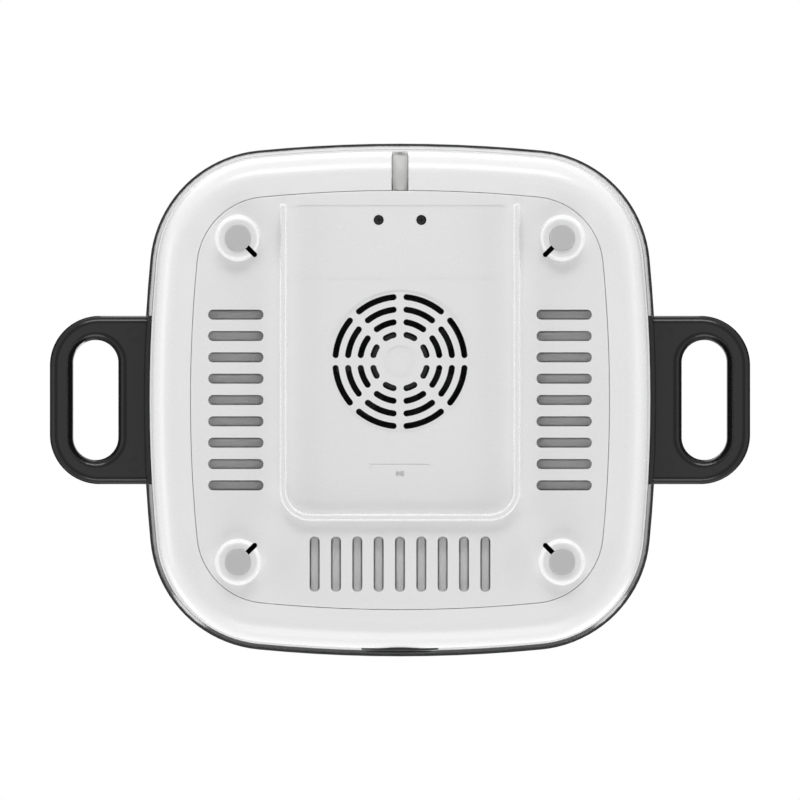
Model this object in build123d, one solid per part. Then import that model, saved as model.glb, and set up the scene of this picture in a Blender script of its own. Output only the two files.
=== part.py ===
from build123d import *
import os
from math import asin, atan2, degrees, sqrt, tan

# Electric hot pot: an induction base, a lift-off pot with two loop handles and a loose glass lid.
# Millimetres, +Z up, feet on Z = 0, front towards -Y, origin on the table under the middle.

# Plan outline, a square with bowed sides, at the pot's rim; other pieces are set in from it
RIM_HALF = 151.7
SIDE_RADIUS = 870.0
CORNER_RADIUS = 71.0

# Fits
FIT = 0.2        # pieces that are pushed together
RUNNING = 0.05   # shafts in their bushes
SEAM = 0.35      # visible joint round the bottom cover
BEHIND_WALL = 1.0   # flat pieces behind a curved wall
REST = 0.3       # pieces that lift off

# Bottom cover
FOOT_HEIGHT = 8.0
COVER_WALL = 2.5
COVER_CHAMFER = 0.4

# Feet, with a pad over each cover screw and a slot to pry the pad out
FOOT_SET_IN = 28.1
FOOT_RADIUS = 12.7
FOOT_TIP_RADIUS = 12.4
FOOT_TIP_ROUND = 2.3
FOOT_FLARE = 1.5
PAD_PROUD = 1.4
PAD_SUNK = 2.2
PAD_RADIUS = 7.55
PAD_ROUND = 0.8
PRY_START = 6.0
PRY_END = 15.2
PRY_WIDTH = 2.9

# Wall under the cover that keeps the exhaust air from the intake
BAFFLE_SIDE_GAP = 11.5
BAFFLE_FRONT_GAP = 11.2
BAFFLE_REAR_GAP = 9.9
BAFFLE_CORNER = 16.0
BAFFLE_FOOT = 4.0
BAFFLE_TIP = 2.0
BAFFLE_HEIGHT = 5.2

# Intake grille
FAN_Y = 22.5
GRILLE_MARGIN = 4.2
GRILLE_SUNK = 0.8
GRILLE_RINGS = 4
GRILLE_FIRST_RING = 16.0
GRILLE_PITCH = 7.3
GRILLE_SLOT = 3.57
GRILLE_SPOKES = 8
GRILLE_SPOKE = 4.0
HUB_RADIUS = 9.4
HUB_SUNK = 0.5

# Exhaust slots, in a row at each side and one at the front
VENT_COUNT = 9
VENT_PITCH = 12.49
VENT_WIDTH = 5.9
VENT_LENGTH = 32.4
VENT_MARGIN = 10.6
HOOD_MARGIN = 3.0
HOOD_WALL = 1.5
SIDE_HOOD_ROOM = 9.0
FRONT_HOOD_ROOM = 6.0
LOUVRE_GAP = 0.9
LOUVRE_HEIGHT = 4.0

# Shallow panel, gate mark and pocket on the cover
PANEL_SIDE_GAP = 7.0
PANEL_REAR_GAP = 8.7
PANEL_LENGTH = 44.5
PANEL_SUNK = 0.5
PANEL_CORNER = 2.0
MARK_Y = -37.7
MARK_X = 17.3
MARK_WIDTH = 0.9
MARK_SUNK = 0.35
MARK_HOOK = 2.0
POCKET_Y = -43.3
POCKET_WIDTH = 4.7
POCKET_LENGTH = 3.3
POCKET_SUNK = 1.4

# Base shell
SHELL_INSET = 6.1
SHELL_WALL = 2.8
SHELL_ROUND = 16.0
SHELL_FLAT = 6.7
SHELL_TOP = 68.0
LEDGE_WIDTH = 4.0
LEDGE_THICKNESS = 2.0
POST_RADIUS = 5.0
POST_WEB = 2.4

# Frame on top of the shell, and the hob plate it carries
FRAME_LIP = 1.6
FRAME_GAP = 0.4
FRAME_RISE = 5.0
FRAME_WIDTH = 3.6
FRAME_ROUND = 1.6
SKIRT_DEPTH = 6.0
SKIRT_WALL = 2.0
HOB_RISE = 4.0
HOB_THICKNESS = 4.0
HOB_INSET = 14.0
SEAT_WIDTH = 7.0
SEAT_THICKNESS = 2.4
SEAL_THICKNESS = 0.8
SEAL_WIDTH = 5.0

# Coil, its tray and the sensor under the hob plate
TRAY_DROP = 18.0
TRAY_RADIUS = 94.0
TRAY_THICKNESS = 2.4
TRAY_RIM = 5.0
TRAY_ARM = 15.0
COIL_THICKNESS = 5.0
COIL_BORE = 24.0
COIL_INNER_WIDTH = 26.0
COIL_SPLIT = 8.0
COIL_MARGIN = 1.6
FERRITE_COUNT = 8
FERRITE_START = 30.0
FERRITE_LENGTH = 54.0
FERRITE_WIDTH = 11.0
FERRITE_THICKNESS = 4.0
SENSOR_RADIUS = 5.0
SENSOR_THICKNESS = 2.0
SENSOR_HOLDER_RADIUS = 8.0

# Screws
SCREW_RADIUS = 1.9
SCREW_HEAD_RADIUS = 3.6
SCREW_HEAD = 2.0
SCREW_LENGTH = 18.0
SCREW_HEAD_CLEAR = 0.7   # between a cover screw's head and its pad
CLAMP_SCREW_X = 12.5
CLAMP_SET_IN = 17.5
CLAMP_HOLE_RADIUS = 3.0
CLAMP_BOSS_RADIUS = 4.8
CLAMP_BOSS_HEIGHT = 4.0
CLAMP_HEAD_DEPTH = 2.4

# Cord outlet
CORD_RADIUS = 3.4
GLAND_WALL = 1.3
GLAND_RISE = 9.5
GLAND_COLLAR_RADIUS = 7.5
GLAND_COLLAR = 3.0
CLAMP_HEIGHT = 7.0
CLAMP_DEPTH = 11.0
CLAMP_MARGIN = 6.0

# Fan
FAN_FRAME = 84.0
FAN_FRAME_CORNER = 6.0
FAN_RIM = 2.5
FAN_DEPTH = 22.5
FAN_TIP_GAP = 2.0
FAN_HUB_RADIUS = 16.5
FAN_HUB_WALL = 2.0
FAN_FLOOR_GAP = 2.5
FAN_BACK = 2.5
FAN_BACK_GAP = 1.5
FAN_STRUT = 3.2
FAN_BLADES = 7
BLADE_THICKNESS = 1.6
BLADE_ROOT_CHORD = 13.0
BLADE_TIP_CHORD = 17.0
BLADE_ROOT_PITCH = 48.0
BLADE_TIP_PITCH = 34.0
FAN_SHAFT_RADIUS = 1.5
BEARING_RADIUS = 3.0
BEARING_GAP = 4.5
TUBE_WALL = 1.2
STATOR_GAP = 2.0
STATOR_THICKNESS = 8.0
STATOR_SLOTS = 4
STATOR_SLOT = 3.0

# Power electronics
BOARD_X = 62.0
BOARD_LENGTH = 48.0
BOARD_GAP = 4.5
BOARD_CLEAR = 1.5
BOARD_THICKNESS = 1.6
STANDOFF_RADIUS = 3.2
STANDOFF_X = 45.0
STANDOFF_MARGIN = 5.0
STANDOFF_PITCH = 20.0
SINK_X = 26.0
SINK_LENGTH = 38.0
SINK_GAP = 2.9
SINK_BASE = 4.0
SINK_FIN = 1.6
SINK_FINS = 8
DEVICE_THICKNESS = 5.0
DEVICE_WIDTH = 16.0
DEVICE_DROP = 4.0
DEVICE_SPACE = 3.0
CAPACITOR_LENGTH = 26.0
CAPACITOR_WIDTH = 12.0
CAPACITOR_DROP = 4.0
CAPACITOR_GAP = 8.0
CAPACITOR_SPACE = 6.0
CAPACITOR_ROUND = 1.5
CHOKE_GAP = 5.0
CHOKE_RADIUS = 11.0
CHOKE_BORE = 5.0
CHOKE_HEIGHT = 12.0
CHOKE_ROUND = 2.0

# Dial at the front
DIAL_RADIUS = 20.6
DIAL_PROUD = 2.6
DIAL_THICKNESS = 10.0
DIAL_ROUND = 1.4
DIAL_GAP = 0.5
DIAL_DISH = 1.2
DIAL_DIMPLE_RADIUS = 6.0
DIAL_DIMPLE_REACH = 13.0
DIAL_DIMPLE_SUNK = 1.4
DIAL_CLEAR = 1.5
CUP_WALL = 1.5
CUP_FLOOR = 2.0
CUP_PROUD = 1.4
CUP_TAB = 5.0
CUP_TAB_HALF = 8.0
CUP_TAB_THICKNESS = 2.0
DIAL_SHAFT_RADIUS = 3.0
DIAL_SHAFT_SUNK = 5.0
SWITCH_WIDTH = 14.0
SWITCH_HEIGHT = 13.0
SWITCH_DEPTH = 7.0
BUSH_WALL = 1.5
CONTROL_BOARD_X = 32.0
CONTROL_BOARD_HEIGHT = 34.0

# Pot
POT_HEIGHT = 77.7
RIM_THICKNESS = 4.0
RIM_ROUND = 1.0
RIM_EDGE = 0.5
POT_WALL = 3.0
POT_FLOOR = 4.0
WALL_TOP_INSET = 0.9
WALL_FOOT_INSET = 5.0
POT_ROUND = 20.0
POT_CORE = 42.0
BASE_PLATE_RADIUS = 104.0
BASE_PLATE_THICKNESS = 0.8

# Handles
HANDLE_DROP = 36.0
HANDLE_THICKNESS = 13.0
HANDLE_REACH = 55.0
HANDLE_HALF = 49.7
HANDLE_CORNER = 29.3
HANDLE_ROUND = 5.0
GRIP_REACH = 14.6
GRIP_BAR = 13.8
GRIP_END = 14.3
GRIP_ROUND = 5.6
FLANGE_BELOW = 20.0
FLANGE_ABOVE = 6.0
FLANGE_THICKNESS = 2.2
BRACKET_THICKNESS = 2.0
BRACKET_MARGIN = 5.7
BRACKET_WALL = 5.3
PLUG_REACH = 5.3
PLUG_SET_IN = 10.8
PLUG_RADIUS = 3.8
PLUG_THICKNESS = 1.6
PLUG_SUNK = 0.3
HANDLE_SCREW_RADIUS = 1.6
HANDLE_SCREW_HEAD_RADIUS = 3.0
HANDLE_SCREW_HEAD = 1.8

# Lid
LID_INSET = 1.4
LID_BAND = 1.6
LID_SKIRT = 4.0
SKIRT_GAP = 0.8
GLASS_THICKNESS = 4.0
GLASS_FLAT = 7.0
GLASS_RISE = 14.0
GLASS_EASE = 13.8
GLASS_LOW_ROUND = 30.0
GLASS_HIGH_ROUND = 80.0
LID_CORE_CORNER = 7.0
KNOB_SEAT_RADIUS = 15.0
KNOB_SEAT_THICKNESS = 3.0
KNOB_STEM_RADIUS = 11.0
KNOB_RADIUS = 22.5
KNOB_HEIGHT = 28.0
KNOB_HEAD = 11.0
KNOB_CROWN = 4.0
KNOB_SCREW_RADIUS = 2.5
KNOB_SCREW_HEAD_RADIUS = 5.5
KNOB_SCREW_HEAD = 3.0
KNOB_SCREW_DEPTH = 16.0
KNOB_WASHER_RADIUS = 9.0
KNOB_WASHER_THICKNESS = 1.2
VENT_EYE_Y = 62.0
EYELET_BORE = 2.4
EYELET_RADIUS = 4.0
EYELET_FLANGE_RADIUS = 6.5
EYELET_FLANGE = 1.0

# Levels and places that follow from these
COVER_INSIDE = FOOT_HEIGHT + COVER_WALL
FOOT_TIP_Z = PAD_PROUD
PAD_TOP = FOOT_TIP_Z + PAD_SUNK
SCREW_SHOULDER = PAD_TOP + SCREW_HEAD_CLEAR + SCREW_HEAD
SEAM_INSET = SHELL_INSET + SHELL_ROUND + SHELL_FLAT
COVER_HALF = RIM_HALF - SEAM_INSET
FOOT_REACH = COVER_HALF - FOOT_SET_IN
VENT_OUTER = COVER_HALF - VENT_MARGIN
VENT_INNER = VENT_OUTER - VENT_LENGTH
BAFFLE_X = VENT_INNER - BAFFLE_SIDE_GAP
BAFFLE_FRONT = BAFFLE_FRONT_GAP - VENT_INNER
BAFFLE_REAR = COVER_HALF - BAFFLE_REAR_GAP
PANEL_X = BAFFLE_X - PANEL_SIDE_GAP
PANEL_REAR = COVER_HALF - PANEL_REAR_GAP
GRILLE_RADIUS = GRILLE_FIRST_RING + (GRILLE_RINGS - 1) * GRILLE_PITCH + GRILLE_MARGIN
LEDGE_Z = COVER_INSIDE + FIT
CLAMP_SCREW_Y = COVER_HALF - CLAMP_SET_IN
GLAND_RADIUS = CORD_RADIUS + GLAND_WALL
GLAND_Z = COVER_INSIDE + GLAND_RISE
FRAME_INSET = SHELL_INSET - FRAME_LIP
HOB_TOP = SHELL_TOP + HOB_RISE
FRAME_TOP = HOB_TOP + FRAME_RISE
HOB_UNDERSIDE = HOB_TOP - HOB_THICKNESS
SEAT_Z = HOB_UNDERSIDE - SEAL_THICKNESS
TRAY_Z = HOB_TOP - TRAY_DROP
TRAY_TOP = TRAY_Z + TRAY_THICKNESS
FAN_BORE = FAN_FRAME / 2 - FAN_RIM
FAN_BACK_Z = COVER_INSIDE + FAN_DEPTH - FAN_BACK
ROTOR_Z = COVER_INSIDE + FAN_FLOOR_GAP
ROTOR_TOP = FAN_BACK_Z - FAN_BACK_GAP
BEARING_Z = ROTOR_Z + FAN_HUB_WALL + BEARING_GAP
STATOR_RADIUS = FAN_HUB_RADIUS - FAN_HUB_WALL - STATOR_GAP
HOOD_TOP = COVER_INSIDE + max(SIDE_HOOD_ROOM, FRONT_HOOD_ROOM) + HOOD_WALL
BOARD_Z = HOOD_TOP + BOARD_CLEAR
BOARD_TOP = BOARD_Z + BOARD_THICKNESS
BOARD_REAR = FAN_Y - FAN_FRAME / 2 - BOARD_GAP
BOARD_FRONT = BOARD_REAR - BOARD_LENGTH
BOARD_Y = (BOARD_FRONT + BOARD_REAR) / 2
SINK_TOP = TRAY_Z - FERRITE_THICKNESS - SINK_GAP
FRONT_WALL = RIM_HALF - SHELL_INSET
GLAND_END = FRONT_WALL - FIT
DIAL_FACE = FRONT_WALL + DIAL_PROUD
DIAL_BACK = DIAL_FACE - DIAL_THICKNESS
CUP_FLOOR_FACE = DIAL_BACK - DIAL_CLEAR
CUP_BACK = CUP_FLOOR_FACE - CUP_FLOOR
CUP_RADIUS = DIAL_RADIUS + DIAL_GAP + CUP_WALL
DIAL_Z = SEAT_Z - SEAT_THICKNESS - FIT - CUP_RADIUS
POT_BOTTOM = HOB_TOP + REST
POT_BODY_BOTTOM = POT_BOTTOM + BASE_PLATE_THICKNESS
RIM_TOP = POT_BOTTOM + POT_HEIGHT
RIM_UNDERSIDE = RIM_TOP - RIM_THICKNESS
HANDLE_Z = RIM_TOP - HANDLE_DROP
HANDLE_TOP = HANDLE_Z + HANDLE_THICKNESS
HANDLE_ROOT = RIM_HALF - WALL_FOOT_INSET - POT_WALL
HANDLE_OUT = RIM_HALF + HANDLE_REACH
GRIP_INNER = RIM_HALF + GRIP_REACH
GRIP_OUTER = HANDLE_OUT - GRIP_BAR
GRIP_HALF = HANDLE_HALF - GRIP_END
FLANGE_BOTTOM = HANDLE_Z - FLANGE_BELOW
FLANGE_TOP = HANDLE_TOP + FLANGE_ABOVE
BRACKET_OUT = GRIP_INNER - BRACKET_WALL
BRACKET_HALF = HANDLE_HALF - BRACKET_MARGIN
PLUG_X = RIM_HALF + PLUG_REACH
PLUG_Y = HANDLE_HALF - PLUG_SET_IN
LID_Z = RIM_TOP + REST
GLASS_Z = LID_Z + LID_BAND
GLASS_TOP = GLASS_Z + GLASS_THICKNESS + GLASS_RISE
GLASS_INSET = LID_INSET + LID_BAND + FIT
LID_CORE = CORNER_RADIUS - LID_CORE_CORNER

UPWARD = (Align.CENTER, Align.CENTER, Align.MIN)
FEET = [(x * FOOT_REACH, y * FOOT_REACH) for x in (-1, 1) for y in (-1, 1)]


def disc(radius, low, high, x=0.0, y=0.0):
    """Upright cylinder between two heights."""
    return Pos(x, y, low) * Cylinder(radius, high - low, align=UPWARD)


def rod(radius, start, end, z, x=0.0):
    """Cylinder along Y between two places."""
    return Pos(x, start, z) * Rot(-90, 0, 0) * Cylinder(radius, end - start, align=UPWARD)


def block(x, y, z):
    """Box between two limits on each axis."""
    size = [limits[1] - limits[0] for limits in (x, y, z)]
    middle = [(limits[1] + limits[0]) / 2 for limits in (x, y, z)]
    return Pos(*middle) * Box(*size)


def prism(sketch, low, high):
    """Flat outline raised between two heights."""
    return extrude(Pos(0, 0, low) * sketch, high - low)


def section(*corners):
    """Outline through (outward, height) corners; a third value rounds that corner."""
    outline = make_face(Polyline(*[corner[:2] for corner in corners], close=True))
    for corner in corners:
        if len(corner) == 3:
            vertex = outline.vertices().sort_by_distance((corner[0], corner[1], 0))[0]
            outline = fillet(vertex, corner[2])
    return outline


def lathe(*corners):
    """Solid turned about Z from a section of (radius, height) corners."""
    return revolve(Plane.XZ * section(*corners), Axis.Z)


def plan_arcs():
    """Centre, radius, start angle and span of the eight tangent arcs of the plan outline."""
    offset = SIDE_RADIUS - RIM_HALF
    spread = SIDE_RADIUS - CORNER_RADIUS
    corner = (sqrt(2 * spread**2 - offset**2) - offset) / 2
    turn = degrees(atan2(corner, corner + offset))
    arcs = []
    for quarter in range(4):
        angle = 90 * quarter
        side_centre = Vector(-offset, 0).rotate(Axis.Z, angle)
        corner_centre = Vector(corner, corner).rotate(Axis.Z, angle)
        arcs.append((side_centre, SIDE_RADIUS, angle - turn, 2 * turn))
        arcs.append((corner_centre, CORNER_RADIUS, angle + turn, 90 - 2 * turn))
    return arcs


def plan_face(inset):
    """Plan outline, set in from the rim, as a flat face."""
    edges = [CenterArc(centre, radius - inset, start, span) for centre, radius, start, span in plan_arcs()]
    return make_face(edges)


def plan_prism(inset, low, high):
    """Plan outline raised between two heights."""
    return prism(plan_face(inset), low, high)


def plan_ring(*corners):
    """Ring that a section of (outward from the rim, height) corners makes round the plan outline."""
    profile = section(*corners)
    parts = []
    for centre, radius, start, span in plan_arcs():
        part = revolve(Plane.XZ * Pos(radius, 0) * profile, Axis.Z, revolution_arc=span)
        parts.append(Pos(centre) * Rot(0, 0, start) * part)
    return Part() + parts


def foot():
    """Turned boss of one foot, with its flare into the cover."""
    reach = FOOT_RADIUS + 2 * FOOT_FLARE
    middle = FOOT_HEIGHT + COVER_WALL / 2
    return lathe(
        (0, FOOT_TIP_Z),
        (FOOT_TIP_RADIUS, FOOT_TIP_Z, FOOT_TIP_ROUND),
        (FOOT_RADIUS, FOOT_HEIGHT, FOOT_FLARE),
        (reach, FOOT_HEIGHT),
        (reach, middle),
        (0, middle),
    )


def foot_cuts(x, y):
    """Pad pocket, screw hole and pry slot of the foot at a corner."""
    pocket = disc(PAD_RADIUS + FIT / 2, 0, PAD_TOP, x, y)
    counterbore = disc(SCREW_HEAD_RADIUS + FIT, PAD_TOP, SCREW_SHOULDER, x, y)
    hole = disc(SCREW_RADIUS + FIT, SCREW_SHOULDER, COVER_INSIDE, x, y)
    inward = degrees(atan2(-y, -x))
    middle = (PRY_START + PRY_END) / 2
    slot = prism(SlotOverall(PRY_END - PRY_START, PRY_WIDTH), 0, COVER_INSIDE)
    return [pocket, counterbore, hole, Pos(x, y) * Rot(0, 0, inward) * Pos(middle, 0) * slot]


def baffle():
    """U-shaped wall that stands down from the cover, open to the rear, with round ends."""
    rear_left = (-BAFFLE_X, BAFFLE_REAR)
    rear_right = (BAFFLE_X, BAFFLE_REAR)
    front_left = (-BAFFLE_X, BAFFLE_FRONT)
    front_right = (BAFFLE_X, BAFFLE_FRONT)
    path = FilletPolyline(rear_left, front_left, front_right, rear_right, radius=BAFFLE_CORNER)
    tip_z = FOOT_HEIGHT - BAFFLE_HEIGHT
    across = Plane(origin=path @ 0, x_dir=(1, 0, 0), z_dir=path % 0)
    low = FOOT_HEIGHT * across.y_dir.Z
    tip = tip_z * across.y_dir.Z
    profile = section(
        (-BAFFLE_FOOT / 2, low),
        (BAFFLE_FOOT / 2, low),
        (BAFFLE_TIP / 2, tip),
        (-BAFFLE_TIP / 2, tip),
    )
    wall = sweep(across * profile, path)
    ends = [Pos(x, y, tip_z) * Cone(BAFFLE_TIP / 2, BAFFLE_FOOT / 2, BAFFLE_HEIGHT, align=UPWARD)
            for x, y in (rear_left, rear_right)]
    return [wall, *ends]


def grille_slots():
    """Concentric arc slots of the intake grille, between straight spokes."""
    sector = 360 / GRILLE_SPOKES
    slots = []
    for ring in range(GRILLE_RINGS):
        radius = GRILLE_FIRST_RING + ring * GRILLE_PITCH
        margin = degrees(asin((GRILLE_SPOKE + GRILLE_SLOT) / 2 / radius))
        for spoke in range(GRILLE_SPOKES):
            arc = CenterArc((0, FAN_Y), radius, spoke * sector + margin, sector - 2 * margin)
            slots.append(SlotArc(arc, GRILLE_SLOT))
    return slots


def vent_row():
    """Places of the slots along one row."""
    return [(index - (VENT_COUNT - 1) / 2) * VENT_PITCH for index in range(VENT_COUNT)]


def vent_slots():
    """Rows of exhaust slots at both sides and at the front."""
    slot = SlotOverall(VENT_LENGTH, VENT_WIDTH)
    middle = (VENT_INNER + VENT_OUTER) / 2
    slots = [Pos(side * middle, along) * slot for side in (-1, 1) for along in vent_row()]
    slots += [Pos(along, -middle) * Rot(0, 0, 90) * slot for along in vent_row()]
    return slots


def cover_marks():
    """Shallow panel, gate mark and pocket that are sunk into the cover's face."""
    panel = RectangleRounded(2 * PANEL_X, PANEL_LENGTH, PANEL_CORNER)
    panel = Pos(0, PANEL_REAR - PANEL_LENGTH / 2) * panel
    mark = Pos(0, MARK_Y) * Rectangle(2 * MARK_X, MARK_WIDTH)
    for side in (-1, 1):
        mark += Pos(side * MARK_X, MARK_Y - MARK_HOOK / 2) * Rectangle(MARK_WIDTH, MARK_HOOK + MARK_WIDTH)
    pocket = Pos(0, POCKET_Y) * Rectangle(POCKET_WIDTH, POCKET_LENGTH)
    depths = ((panel, PANEL_SUNK), (mark, MARK_SUNK), (pocket, POCKET_SUNK))
    return [prism(outline, 0, FOOT_HEIGHT + depth) for outline, depth in depths]


def standoffs():
    """Places of the power board's four standoffs."""
    rear = BOARD_REAR - STANDOFF_MARGIN
    return [(side * STANDOFF_X, y) for side in (-1, 1) for y in (rear, rear - STANDOFF_PITCH)]


def make_bottom_cover():
    """Moulded bottom cover: feet, baffle, grille, exhaust slots and inner bosses."""
    plate = plan_prism(SEAM_INSET + SEAM, FOOT_HEIGHT, COVER_INSIDE)
    plate = chamfer(plate.faces().sort_by(Axis.Z)[0].edges(), COVER_CHAMFER)
    sunk = disc(GRILLE_RADIUS, 0, FOOT_HEIGHT + GRILLE_SUNK, 0, FAN_Y)
    hub = disc(HUB_RADIUS, 0, FOOT_HEIGHT + GRILLE_SUNK + HUB_SUNK, 0, FAN_Y)
    plate = plate - [sunk, hub, *cover_marks()]
    plate = plate - prism(Sketch() + grille_slots() + vent_slots(), 0, COVER_INSIDE)
    boss_low = FOOT_HEIGHT + COVER_WALL / 2
    boss_high = COVER_INSIDE + CLAMP_BOSS_HEIGHT
    bosses = [disc(STANDOFF_RADIUS, boss_low, BOARD_Z, x, y) for x, y in standoffs()]
    for side in (-1, 1):
        bosses.append(disc(CLAMP_BOSS_RADIUS, boss_low, boss_high, side * CLAMP_SCREW_X, CLAMP_SCREW_Y))
    cover = plate + [Pos(x, y) * foot() for x, y in FEET] + baffle() + bosses
    shoulder = COVER_INSIDE + CLAMP_HEAD_DEPTH
    for side in (-1, 1):
        place = (side * CLAMP_SCREW_X, CLAMP_SCREW_Y)
        cover -= disc(CLAMP_HOLE_RADIUS, 0, shoulder, *place)
        cover -= disc(SCREW_RADIUS + FIT, 0, boss_high, *place)
    return cover - [cut for x, y in FEET for cut in foot_cuts(x, y)]


def make_foot_pads():
    """Four round pads pushed into the feet."""
    pad = lathe((0, 0), (PAD_RADIUS, 0, PAD_ROUND), (PAD_RADIUS, PAD_TOP), (0, PAD_TOP))
    return Part() + [Pos(x, y) * pad for x, y in FEET]


def make_cover_screws():
    """Four screws, head down, that hold the cover to the shell's posts."""
    head = disc(SCREW_HEAD_RADIUS, SCREW_SHOULDER - SCREW_HEAD, SCREW_SHOULDER)
    screw = head + disc(SCREW_RADIUS, SCREW_SHOULDER, SCREW_SHOULDER + SCREW_LENGTH)
    return Part() + [Pos(x, y) * screw for x, y in FEET]


def shell_outside():
    """Solid ring with the shell's outer shape, as far in as the seam."""
    return plan_ring(
        (-SEAM_INSET, FOOT_HEIGHT),
        (-SHELL_INSET, FOOT_HEIGHT, SHELL_ROUND),
        (-SHELL_INSET, SHELL_TOP),
        (-SEAM_INSET, SHELL_TOP),
    )


def make_base_shell():
    """Outer shell of the base, with the ledge for the cover, screw posts and both wall openings."""
    wall = SHELL_INSET + SHELL_WALL
    floor = FOOT_HEIGHT + SHELL_WALL
    ledge_top = LEDGE_Z + LEDGE_THICKNESS
    ledge_root = SEAM_INSET - LEDGE_WIDTH
    shell = plan_ring(
        (-SEAM_INSET, FOOT_HEIGHT),
        (-SHELL_INSET, FOOT_HEIGHT, SHELL_ROUND),
        (-SHELL_INSET, SHELL_TOP),
        (-wall, SHELL_TOP),
        (-wall, floor, SHELL_ROUND - SHELL_WALL),
        (-ledge_root, floor),
        (-ledge_root, ledge_top),
        (-SEAM_INSET - LEDGE_WIDTH, ledge_top),
        (-SEAM_INSET - LEDGE_WIDTH, LEDGE_Z),
        (-SEAM_INSET, LEDGE_Z),
    )
    web_z = (FOOT_HEIGHT + SHELL_ROUND, TRAY_Z - TRAY_RIM)
    inside = plan_prism(SHELL_INSET + SHELL_WALL / 2, *web_z)
    for x, y in FEET:
        post = disc(POST_RADIUS, LEDGE_Z, TRAY_Z, x, y)
        web = block((0, RIM_HALF), (-POST_WEB / 2, POST_WEB / 2), web_z)
        web = Pos(x, y) * Rot(0, 0, degrees(atan2(y, x))) * web
        shell += [post, web & inside]
        shell -= disc(SCREW_RADIUS + RUNNING, LEDGE_Z, SCREW_SHOULDER + SCREW_LENGTH + SCREW_HEAD, x, y)
        shell -= disc(SCREW_RADIUS + RUNNING, TRAY_TOP - SCREW_LENGTH - SCREW_HEAD, TRAY_Z, x, y)
    shell -= rod(CUP_RADIUS + FIT, -RIM_HALF, -FRONT_WALL / 2, DIAL_Z)
    slot_half = GLAND_RADIUS + FIT
    shell -= rod(slot_half, FRONT_WALL / 2, RIM_HALF, GLAND_Z)
    return shell - block((-slot_half, slot_half), (FRONT_WALL / 2, RIM_HALF), (0, GLAND_Z))


def make_top_frame():
    """Frame on the shell's top edge: a raised lip round the pot and a seat for the hob plate."""
    lip_inner = FRAME_INSET + FRAME_WIDTH
    hob_edge = HOB_INSET - FIT
    seat_inner = HOB_INSET + SEAT_WIDTH
    skirt_outer = SHELL_INSET + SHELL_WALL + FIT
    skirt_inner = skirt_outer + SKIRT_WALL
    low = SHELL_TOP + FRAME_GAP
    under_seat = SEAT_Z - SEAT_THICKNESS
    frame = plan_ring(
        (-FRAME_INSET, low),
        (-FRAME_INSET, FRAME_TOP, FRAME_ROUND),
        (-lip_inner, FRAME_TOP, FRAME_ROUND),
        (-hob_edge, HOB_TOP),
        (-hob_edge, SEAT_Z),
        (-seat_inner, SEAT_Z),
        (-seat_inner, under_seat),
        (-skirt_inner, under_seat),
        (-skirt_inner, SHELL_TOP - SKIRT_DEPTH),
        (-skirt_outer, SHELL_TOP - SKIRT_DEPTH),
        (-skirt_outer, low),
    )
    return frame - rod(CUP_RADIUS + FIT, -RIM_HALF, -FRONT_WALL / 2, DIAL_Z)


def make_hob_seal():
    """Flat gasket under the edge of the hob plate."""
    outer = HOB_INSET + FIT
    return plan_prism(outer, SEAT_Z, HOB_UNDERSIDE) - plan_prism(outer + SEAL_WIDTH, SEAT_Z, HOB_UNDERSIDE)


def make_coil_tray():
    """Round tray on four arms, with a rim round the coil and an eye for the sensor."""
    tray = disc(TRAY_RADIUS, TRAY_Z, TRAY_TOP)
    rim_inner = TRAY_RADIUS - TRAY_THICKNESS
    rim = disc(TRAY_RADIUS, TRAY_TOP, TRAY_TOP + TRAY_RIM) - disc(rim_inner, TRAY_TOP, TRAY_TOP + TRAY_RIM)
    tray += rim
    for x, y in FEET:
        reach = sqrt(x**2 + y**2)
        arm = block((rim_inner, reach), (-TRAY_ARM / 2, TRAY_ARM / 2), (TRAY_Z, TRAY_TOP))
        arm += disc(TRAY_ARM / 2, TRAY_Z, TRAY_TOP, reach)
        tray += Rot(0, 0, degrees(atan2(y, x))) * arm
        tray -= disc(SCREW_RADIUS + FIT, TRAY_Z, TRAY_TOP, x, y)
    return tray


def make_tray_screws():
    """Four screws that hold the coil tray on the shell's posts."""
    screw = disc(SCREW_RADIUS, TRAY_TOP - SCREW_LENGTH, TRAY_TOP)
    screw += disc(SCREW_HEAD_RADIUS, TRAY_TOP, TRAY_TOP + SCREW_HEAD)
    return Part() + [Pos(x, y) * screw for x, y in FEET]


def make_induction_coil():
    """Two flat ring windings on the tray."""
    high = TRAY_TOP + COIL_THICKNESS
    split = COIL_BORE + COIL_INNER_WIDTH
    edge = TRAY_RADIUS - TRAY_THICKNESS - COIL_MARGIN
    limits = ((COIL_BORE, split), (split + COIL_SPLIT, edge))
    return Part() + [disc(outer, TRAY_TOP, high) - disc(inner, TRAY_TOP, high) for inner, outer in limits]


def make_ferrite_bars():
    """Radial ferrite bars under the tray."""
    bar = block(
        (FERRITE_START, FERRITE_START + FERRITE_LENGTH),
        (-FERRITE_WIDTH / 2, FERRITE_WIDTH / 2),
        (TRAY_Z - FERRITE_THICKNESS, TRAY_Z),
    )
    return Part() + [Rot(0, 0, index * 360 / FERRITE_COUNT) * bar for index in range(FERRITE_COUNT)]


def make_cord_gland():
    """Gland with a keel that fills the shell's slot, a collar behind the ledge and a bore for the cord."""
    collar_end = COVER_HALF - LEDGE_WIDTH - FIT - BEHIND_WALL
    gland = rod(GLAND_RADIUS, collar_end - GLAND_COLLAR, GLAND_END, GLAND_Z)
    keel = block((-GLAND_RADIUS, GLAND_RADIUS), (COVER_HALF, GLAND_END), (0, GLAND_Z))
    gland += keel & shell_outside()
    gland += rod(GLAND_COLLAR_RADIUS, collar_end - GLAND_COLLAR, collar_end, GLAND_Z)
    return gland - rod(CORD_RADIUS, collar_end - GLAND_COLLAR, GLAND_END, GLAND_Z)


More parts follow.
